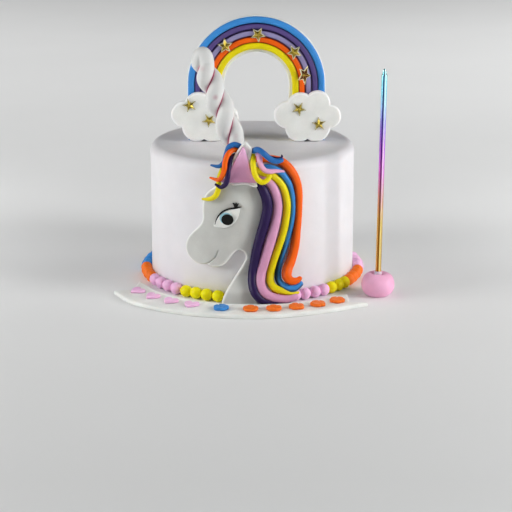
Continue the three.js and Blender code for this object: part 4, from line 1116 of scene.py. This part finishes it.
def fuse(piece):
    """Joins the parts of a rope that press into each other into one soft skin."""
    remesh = piece.modifiers.new("fuse", "REMESH")
    remesh.mode = "VOXEL"
    remesh.voxel_size = 0.45 * MM
    smooth = piece.modifiers.new("soften", "SMOOTH")
    smooth.factor = 0.5
    smooth.iterations = 4
    shaped = piece.evaluated_get(bpy.context.evaluated_depsgraph_get())
    mesh = bpy.data.meshes.new_from_object(shaped)
    piece.modifiers.clear()
    piece.data = mesh
    mesh.polygons.foreach_set("use_smooth", [True] * len(mesh.polygons))


def add_horn_dust(horn, left, right):
    """Marks how much pink dust lies at each point: in the grooves, and in three rubbed patches."""
    points = np.array([tuple(v.co) for v in horn.data.vertices]) / MM
    apart = distance_to(points, left) - distance_to(points, right)
    dust_and_painted_light = sum(strength * bell(apart, width) for strength, width in HORN_GROOVES)
    dust_and_painted_light *= smoothstep(*HORN_FADE, points[:, 2])
    patchy = np.array([noise.noise(Vector(p) / 9.0) for p in points.tolist()])
    dust_and_painted_light *= 0.75 + 0.6 * np.clip(patchy + 0.25, 0, 1)
    for spot, size, amount in HORN_SPOTS:
        dust_and_painted_light = np.maximum(dust_and_painted_light, amount * bell(np.linalg.norm(points - spot, axis=1), size))
    add_values(horn, "dust_and_painted_light", np.clip(dust_and_painted_light, 0, 1))


def head_radius(z):
    """The head follows the wall and bends out over the beads near the floor."""
    return HEAD["bead_r"] + (HEAD["wall_r"] - HEAD["bead_r"]) * smoothstep(*HEAD["bend"], z)


def on_wall(base):
    """Puts an outline in (s, z) onto the wall; base is a radius, or a function of z."""

    def place(points, heights):
        r = base(points[:, 1]) if callable(base) else base
        return wall(points[:, 0], points[:, 1], r + heights)

    return place


def make_head():
    """The unicorn's head and neck, a thick cut-out with a rounded rim, paler by a painted highlight, and a
    pressed-in smile.
    """
    throat, muzzle, nape = (smooth_curve(points, 0.7) for points in (THROAT, MUZZLE, NAPE))
    outline = closed_outline(0.7, throat, muzzle, nape)
    smile = smooth_curve(SMILE["line"], 0.5)

    def relief(points, away):
        groove = SMILE["depth"] * bell(distance_to(points, smile), SMILE["width"])
        sunk = HEAD["sunk"] * (1 - smoothstep(0, HEAD["sunk_within"], distance_to(points, nape)))
        return HEAD["swell"] * (smoothstep(0, HEAD["swell_within"], away) - 1) - groove - sunk

    place = on_wall(head_radius)
    shape = plate(outline, HEAD["thickness"], HEAD["edge"], place, grid=1.1, relief=relief, details=[smile])
    head = add_piece("head_cutout", shape, "head", "icing_grey", "unicorn_head", soft=0.1)
    x, y, z = shape[0].T
    add_rim_highlight(head, np.stack([np.arctan2(x, -y) * CAKE["radius"], z], axis=1), outline, RIM_HIGHLIGHT["head_to"])


def make_eye():
    """White, sky-blue ring and pupil in thin layers, with a painted line of lashes over them."""
    iris, pupil = (arc(spot[:2], spot[2], 0, 360, 72)[:-1] for spot in (IRIS, PUPIL))
    sunk = 0.5
    layers = [
        ("eye_white", "white", "icing_white", smooth_curve(EYE_WHITE, 0.4, True)),
        ("eye_iris", "sky", "eye_sky_blue", iris),
        ("eye_pupil", "black", "eye_black", pupil),
    ]
    for index, (node, finish, slot, outline) in enumerate(layers):
        back = EYE_BASE + GAP + index * (EYE_RISE + GAP)
        shape = plate(outline, EYE_RISE + sunk, 0.6, on_wall(back - sunk), grid=0.7)
        add_piece(f"{node}_disc", shape, finish, slot, node)
    strokes = []
    for stroke in (LASH_LINE, *LASHES):
        s, z, _, width = smooth_curve([(s, z, EYE_BASE, width) for s, z, width in stroke], 0.35).T
        centres = wall(s, z, EYE_BASE + LASH_RISE / 2)
        rise = np.full(len(s), LASH_RISE / 2)
        strokes.append(sweep(centres, wall(s, 0 * z, 1.0), width / 2, rise, round_section(12), 0.8))
    add_piece("eye_lashes", merged(strokes), "black", "eye_black")


def make_ear():
    """A cupped leaf of white icing with a pink leaf inside it, made paler toward its tip by painted light."""

    def cupped(points, away):
        return EAR["rim"] * bell(away - EAR["rim_in"], EAR["rim_width"]) - EAR["lowered"]

    def dished(points, away):
        return -EAR["dish"] * smoothstep(*EAR["dished_between"], away)

    outline = smooth_curve(EAR_OUTER, 0.5, True)
    shape = plate(outline, EAR["thickness"], EAR["edge"], on_wall(EAR["r"]), grid=0.9, relief=cupped)
    add_piece("ear_leaf", shape, "white", "icing_white", "ear_outer")
    outline = smooth_curve(EAR_INNER, 0.5, True)
    thickness, edge = EAR["inner_thickness"], EAR["inner_edge"]
    shape = plate(outline, thickness, edge, on_wall(EAR["inner_r"]), grid=0.8, relief=dished)
    leaf = add_piece("ear_inside", shape, "ear", "icing_pink", "ear_inner")
    # Painted light: the pink pales toward the tip.
    fade = smoothstep(EAR_TIP_LIGHT["from_z"], EAR_TIP_LIGHT["to_z"], shape[0][:, 2])
    add_values(leaf, "dust_and_painted_light", EAR_TIP_LIGHT["strength"] * fade)


def lock_shape(route, plump, sides, spacing):
    """A rolled rope of icing along its route, with softly changing thickness and round ends."""
    s, z, r, diameter = smooth_curve(route, spacing).T
    size = diameter / 2 * plump
    return sweep(wall(s, z, r), wall(s, 0 * z, 1.0), size, size, round_section(sides), 0.85)


def painted_crease_shade(node, vertices, sides):
    """Painted shade on a long lock, from 0 to 1, toward its left side, where the next one lies."""
    to_left = np.resize(round_section(sides)[:, 0], len(vertices))
    crease = MANE_CREASE_SHADE[node] * smoothstep(CREASE_FROM, CREASE_TO, to_left)
    if node == "mane_blue":
        shadow = BLUE_SHADOW["strength"] * smoothstep(BLUE_SHADOW["from"], BLUE_SHADOW["to"], to_left)
        for height in ("top", "bottom"):
            shadow *= smoothstep(*BLUE_SHADOW[height], vertices[:, 2])
        crease = np.maximum(crease, shadow)
    return crease


def make_locks():
    """The mane's long locks, with painted shade in their creases, the short ones round the ear, and a small
    curl.
    """
    for node, (colour, route) in MANE.items():
        shape = lock_shape(route, PLUMP, 32, 0.9)
        lock = add_piece(f"{node}_lock", shape, colour + "_mane", slot_of(colour), node, soft=0.14)
        # Painted shade in the crease on each long lock's left side.
        add_values(lock, "dust_and_painted_light", painted_crease_shade(node, shape[0], 32))
    for node, (colour, route) in SHORT_LOCKS.items():
        shape = lock_shape(route, SHORT_PLUMP, 24, 0.5)
        add_piece(f"{node}_lock", shape, colour, slot_of(colour), node, soft=0.08)
    add_piece("purple_curl", lock_shape(PURPLE_CURL, 1, 18, 0.3), "purple", "icing_purple")


def lying(points, heights, base=0.0):
    return np.stack([points[:, 0], points[:, 1], base + heights], axis=1)


def make_banner():
    """A strip of rolled icing with swallow-tail ends and a soft edge, slightly raised at the back."""
    front = smooth_curve([from_front(*p) for p in BANNER_FRONT], 0.8)
    back = smooth_curve([from_front(*p) for p in reversed(BANNER_BACK)], 0.8)
    left_notch, right_notch = (from_front(*p) for p in BANNER_NOTCHES)
    outline = closed_outline(0.8, front, right_notch, back, left_notch)

    def relief(points, away):
        ridge = bell(away - BANNER["ridge_in"], BANNER["ridge_width"])
        behind = smoothstep(*BANNER["ridge_within"], distance_to(points, back))
        return BANNER["ridge"] * ridge * behind - BANNER["lowered"]

    thickness, edge, back_edge = (BANNER[k] for k in ("thickness", "edge", "back_edge"))
    shape = plate(outline, thickness, edge, lying, grid=1.6, back_edge=back_edge, relief=relief)
    add_piece("banner_strip", shape, "white", "icing_white", "banner")


def heart_outline():
    """Half a heart as one smooth curve, and its mirror image."""
    half = smooth_curve(HALF_HEART, 0.08)
    return ORNAMENT["size"] * closed_outline(0.08, half[::-1], half * (-1, 1))


def blossom_outline():
    """Five round petals."""
    angles = np.linspace(0, 2 * math.pi, 160, endpoint=False)
    petals = np.sqrt(np.abs(np.cos(2.5 * angles)))
    reach = ORNAMENT["size"] * (1 - ORNAMENT["petal_depth"] * (1 - petals))
    return np.stack([reach * np.sin(angles), reach * np.cos(angles)], axis=1)


def heart_relief(points, away):
    return 0.25 * smoothstep(0, 3, away) - 0.25


def blossom_relief(points, away):
    """Creases between the petals and a small bump in the middle."""
    distance = np.linalg.norm(points, axis=1)
    angle = np.arctan2(points[:, 0], points[:, 1])
    crease = bell(np.sin(2.5 * angle + math.pi / 2) * distance, 0.7)
    return -0.5 * crease * smoothstep(0.5, 2.5, distance) + 0.25 * bell(distance, 1.3) - 0.1


def make_ornaments():
    """Small hearts and blossoms lying on the banner."""
    heart = (heart_outline(), heart_relief)
    blossom = (blossom_outline(), blossom_relief)
    ornaments = [(f"heart_{k}", "rose", angle, heart) for k, angle in enumerate(HEART_DEGREES, 1)]
    ornaments.append(("blossom_blue", "blue", BLUE_BLOSSOM_DEGREES, blossom))
    for k, angle in enumerate(BLOSSOM_DEGREES, 1):
        ornaments.append((f"blossom_{k}", "tangerine", angle, blossom))
    for node, colour, degrees, (outline, relief) in ornaments:
        centre = from_front(degrees, ORNAMENT["ring"])
        turn = np.array(Matrix.Rotation(math.radians(degrees), 2))

        def place(points, heights, centre=centre, turn=turn):
            return lying(points @ turn.T + centre, heights, BANNER["thickness"])

        outline = even_steps(np.vstack([outline, outline[:1]]), 0.4)[:-1]
        shape = plate(outline, ORNAMENT["thickness"] + GAP, ORNAMENT["edge"], place, grid=0.5, relief=relief)
        add_piece(f"{node}_icing", shape, colour, slot_of(colour), node)


def make_ball(x, y, floor):
    """A ball of icing that stands flat, with a dimple in its top down to the floor for the cup."""
    radius, height, dimple = (CANDLE[k] for k in ("ball_radius", "ball_height", "dimple_radius"))
    skin = smooth_curve([
        (0.60 * radius, 0.02), (0.86 * radius, 0.15 * height), (0.995 * radius, 0.46 * height),
        (0.90 * radius, 0.77 * height), (0.64 * radius, 0.95 * height), (dimple + 1.2, height - 0.2),
        (dimple - 0.6, height - 1.2), (dimple - 1.4, floor + 0.1),
    ], 0.5)
    profile = np.vstack([(0, 0), (0.3 * radius, 0), skin, (1.2, floor), (0, floor)])
    vertices, faces = lathe(profile, 96, x, y)
    vertices = lumps(vertices, *CANDLE["ball_lumps"], seed=3.1)
    vertices[:, 2] = np.maximum(vertices[:, 2], CLEAR)
    add_piece("icing_ball_soft", (vertices, faces), "candy", "icing_pink", "icing_ball")


def make_cup(x, y, bottom, bore):
    """A small straight cup from its bottom, with its inner floor at the bore."""
    outer, inner, edge, lip = (CANDLE[k] for k in ("cup_radius", "cup_bore", "cup_edge", "cup_rim"))
    rim = bottom + CANDLE["cup_height"]
    profile = np.vstack([
        (0, bottom),
        arc((outer - edge, bottom + edge), edge, -90, 0, 3),
        arc((outer - lip, rim - lip), lip, 0, 180, 4),
        [(inner, rim - 0.6), (inner, bore), (0, bore)],
    ])
    add_piece("candle_holder", lathe(profile, 48, x, y), "cup", "cup_white", "candle_cup")


def painted_reflections_at(degrees):
    """-1 in the dark streaks of painted reflection, 1 in the bright ones and 0 elsewhere, at angles from the
    front.
    """
    half, edge = REFLECTION_STREAKS["repeat"] / 2, REFLECTION_STREAKS["edge"] / 2
    degrees = (degrees + half) % (2 * half) - half
    painted_reflection = 0
    for name, value in (("dark", -1), ("bright", 1)):
        low, high = REFLECTION_STREAKS[name]
        rise = smoothstep(low - edge, low + edge, degrees)
        painted_reflection = painted_reflection + value * rise * smoothstep(high + edge, high - edge, degrees)
    return painted_reflection


def make_candle():
    """The ball of icing, the cup pressed into it and the long thin candle, which leans a little."""
    x, y, top, shoulder = (CANDLE[k] for k in ("x", "y", "top", "shoulder"))
    floor = CANDLE["ball_height"] - CANDLE["dimple_depth"]
    bottom = floor + GAP
    bore = bottom + CANDLE["cup_floor"]
    make_ball(x, y, floor)
    make_cup(x, y, bottom, bore)
    foot = bore + GAP
    body, tip, end = CANDLE["radius"], CANDLE["tip_radius"], CANDLE["tip_round"]
    profile = np.vstack([
        [(0, foot), (body, foot)],
        straight((body, foot + 0.5), (body, shoulder - 0.8), 4),
        smooth_curve([(body, shoulder - 0.4), (body * 0.93, shoulder + 0.2), (tip * 1.05, shoulder + 0.9),
                      (tip, top - 2.2), (tip * 0.8, top - 0.9)], 0.3),
        arc((0, top - end), end, 40, 80, 3),
        (0, top),
    ])
    vertices, faces = lathe(profile, 90)
    # Painted reflections: dark and bright streaks round the candle.
    painted_reflection = painted_reflections_at(np.degrees(np.arctan2(vertices[:, 0], -vertices[:, 1])))
    vertices[:, 0] += x + CANDLE["lean"] * (vertices[:, 2] - foot)
    vertices[:, 1] += y
    stick = add_piece("candle_stick", (vertices, faces), "candle", "candle_metallic", "candle")
    add_values(stick, "painted_reflection", painted_reflection)


# -------------------------------- floor, lights and camera


def make_floor():
    mesh = bpy.data.meshes.new("floor")
    half = FLOOR["half"]
    corners = [(-half, -half, 0), (half, -half, 0), (half, half, 0), (-half, half, 0)]
    mesh.from_pydata(corners, [], [(0, 1, 2, 3)])
    mesh.materials.append(paper_material())
    floor = new_object("floor", mesh)
    floor.location.z = -FLOOR["below"]


def make_lights():
    for name, place, size, power, spread, aim in LIGHTS:
        data = bpy.data.lights.new(name, "AREA")
        data.size = size
        data.energy = power
        data.spread = math.radians(spread)
        light = new_object(name, data)
        light.location = place
        target = Vector((place[0] * aim, place[1], AIM_HEIGHT))
        light.rotation_euler = (target - Vector(place)).to_track_quat("-Z", "Y").to_euler()


def make_tent():
    """White cloth all round: bright overhead in front, dimmer low down and dark behind."""
    n = Nodes(bpy.data.worlds.new("tent"), "OutputWorld", "Background", "Generated")
    upward = n.spread(n.axis("Z"), *TENT["upward"], TENT["low"], TENT["overhead"], smooth=True)
    backward = n.spread(n.axis("Y"), *TENT["backward"], 1.0, TENT["behind"], smooth=True)
    n.feed(n.shader, Color=(1, 1, 1), Strength=n.joined("MULTIPLY", upward, backward))
    bpy.context.scene.world = n.owner


def make_camera():
    data = bpy.data.cameras.new("camera")
    data.lens = CAMERA["lens"]
    data.sensor_width = 36
    data.shift_x = CAMERA["shift_x"]
    camera = new_object("camera", data)
    camera.location = CAMERA["place"]
    camera.rotation_euler = (math.radians(CAMERA["pitch_deg"]), 0, 0)
    bpy.context.scene.camera = camera


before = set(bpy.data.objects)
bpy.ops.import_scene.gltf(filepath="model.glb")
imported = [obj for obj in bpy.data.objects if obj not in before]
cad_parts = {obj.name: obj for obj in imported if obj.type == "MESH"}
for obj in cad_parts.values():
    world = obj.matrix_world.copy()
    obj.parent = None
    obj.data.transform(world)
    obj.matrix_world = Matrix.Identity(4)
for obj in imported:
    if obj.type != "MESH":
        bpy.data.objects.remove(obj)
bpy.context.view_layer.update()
noise.seed_set(SEED)
FINISH = make_materials()
make_cake()
make_beads()
make_rainbow()
make_clouds()
make_stars()
make_horn()
make_head()
make_eye()
make_ear()
make_locks()
make_banner()
make_ornaments()
make_candle()
make_floor()
make_lights()
make_tent()
make_camera()
bpy.context.scene.view_settings.view_transform = "Standard"
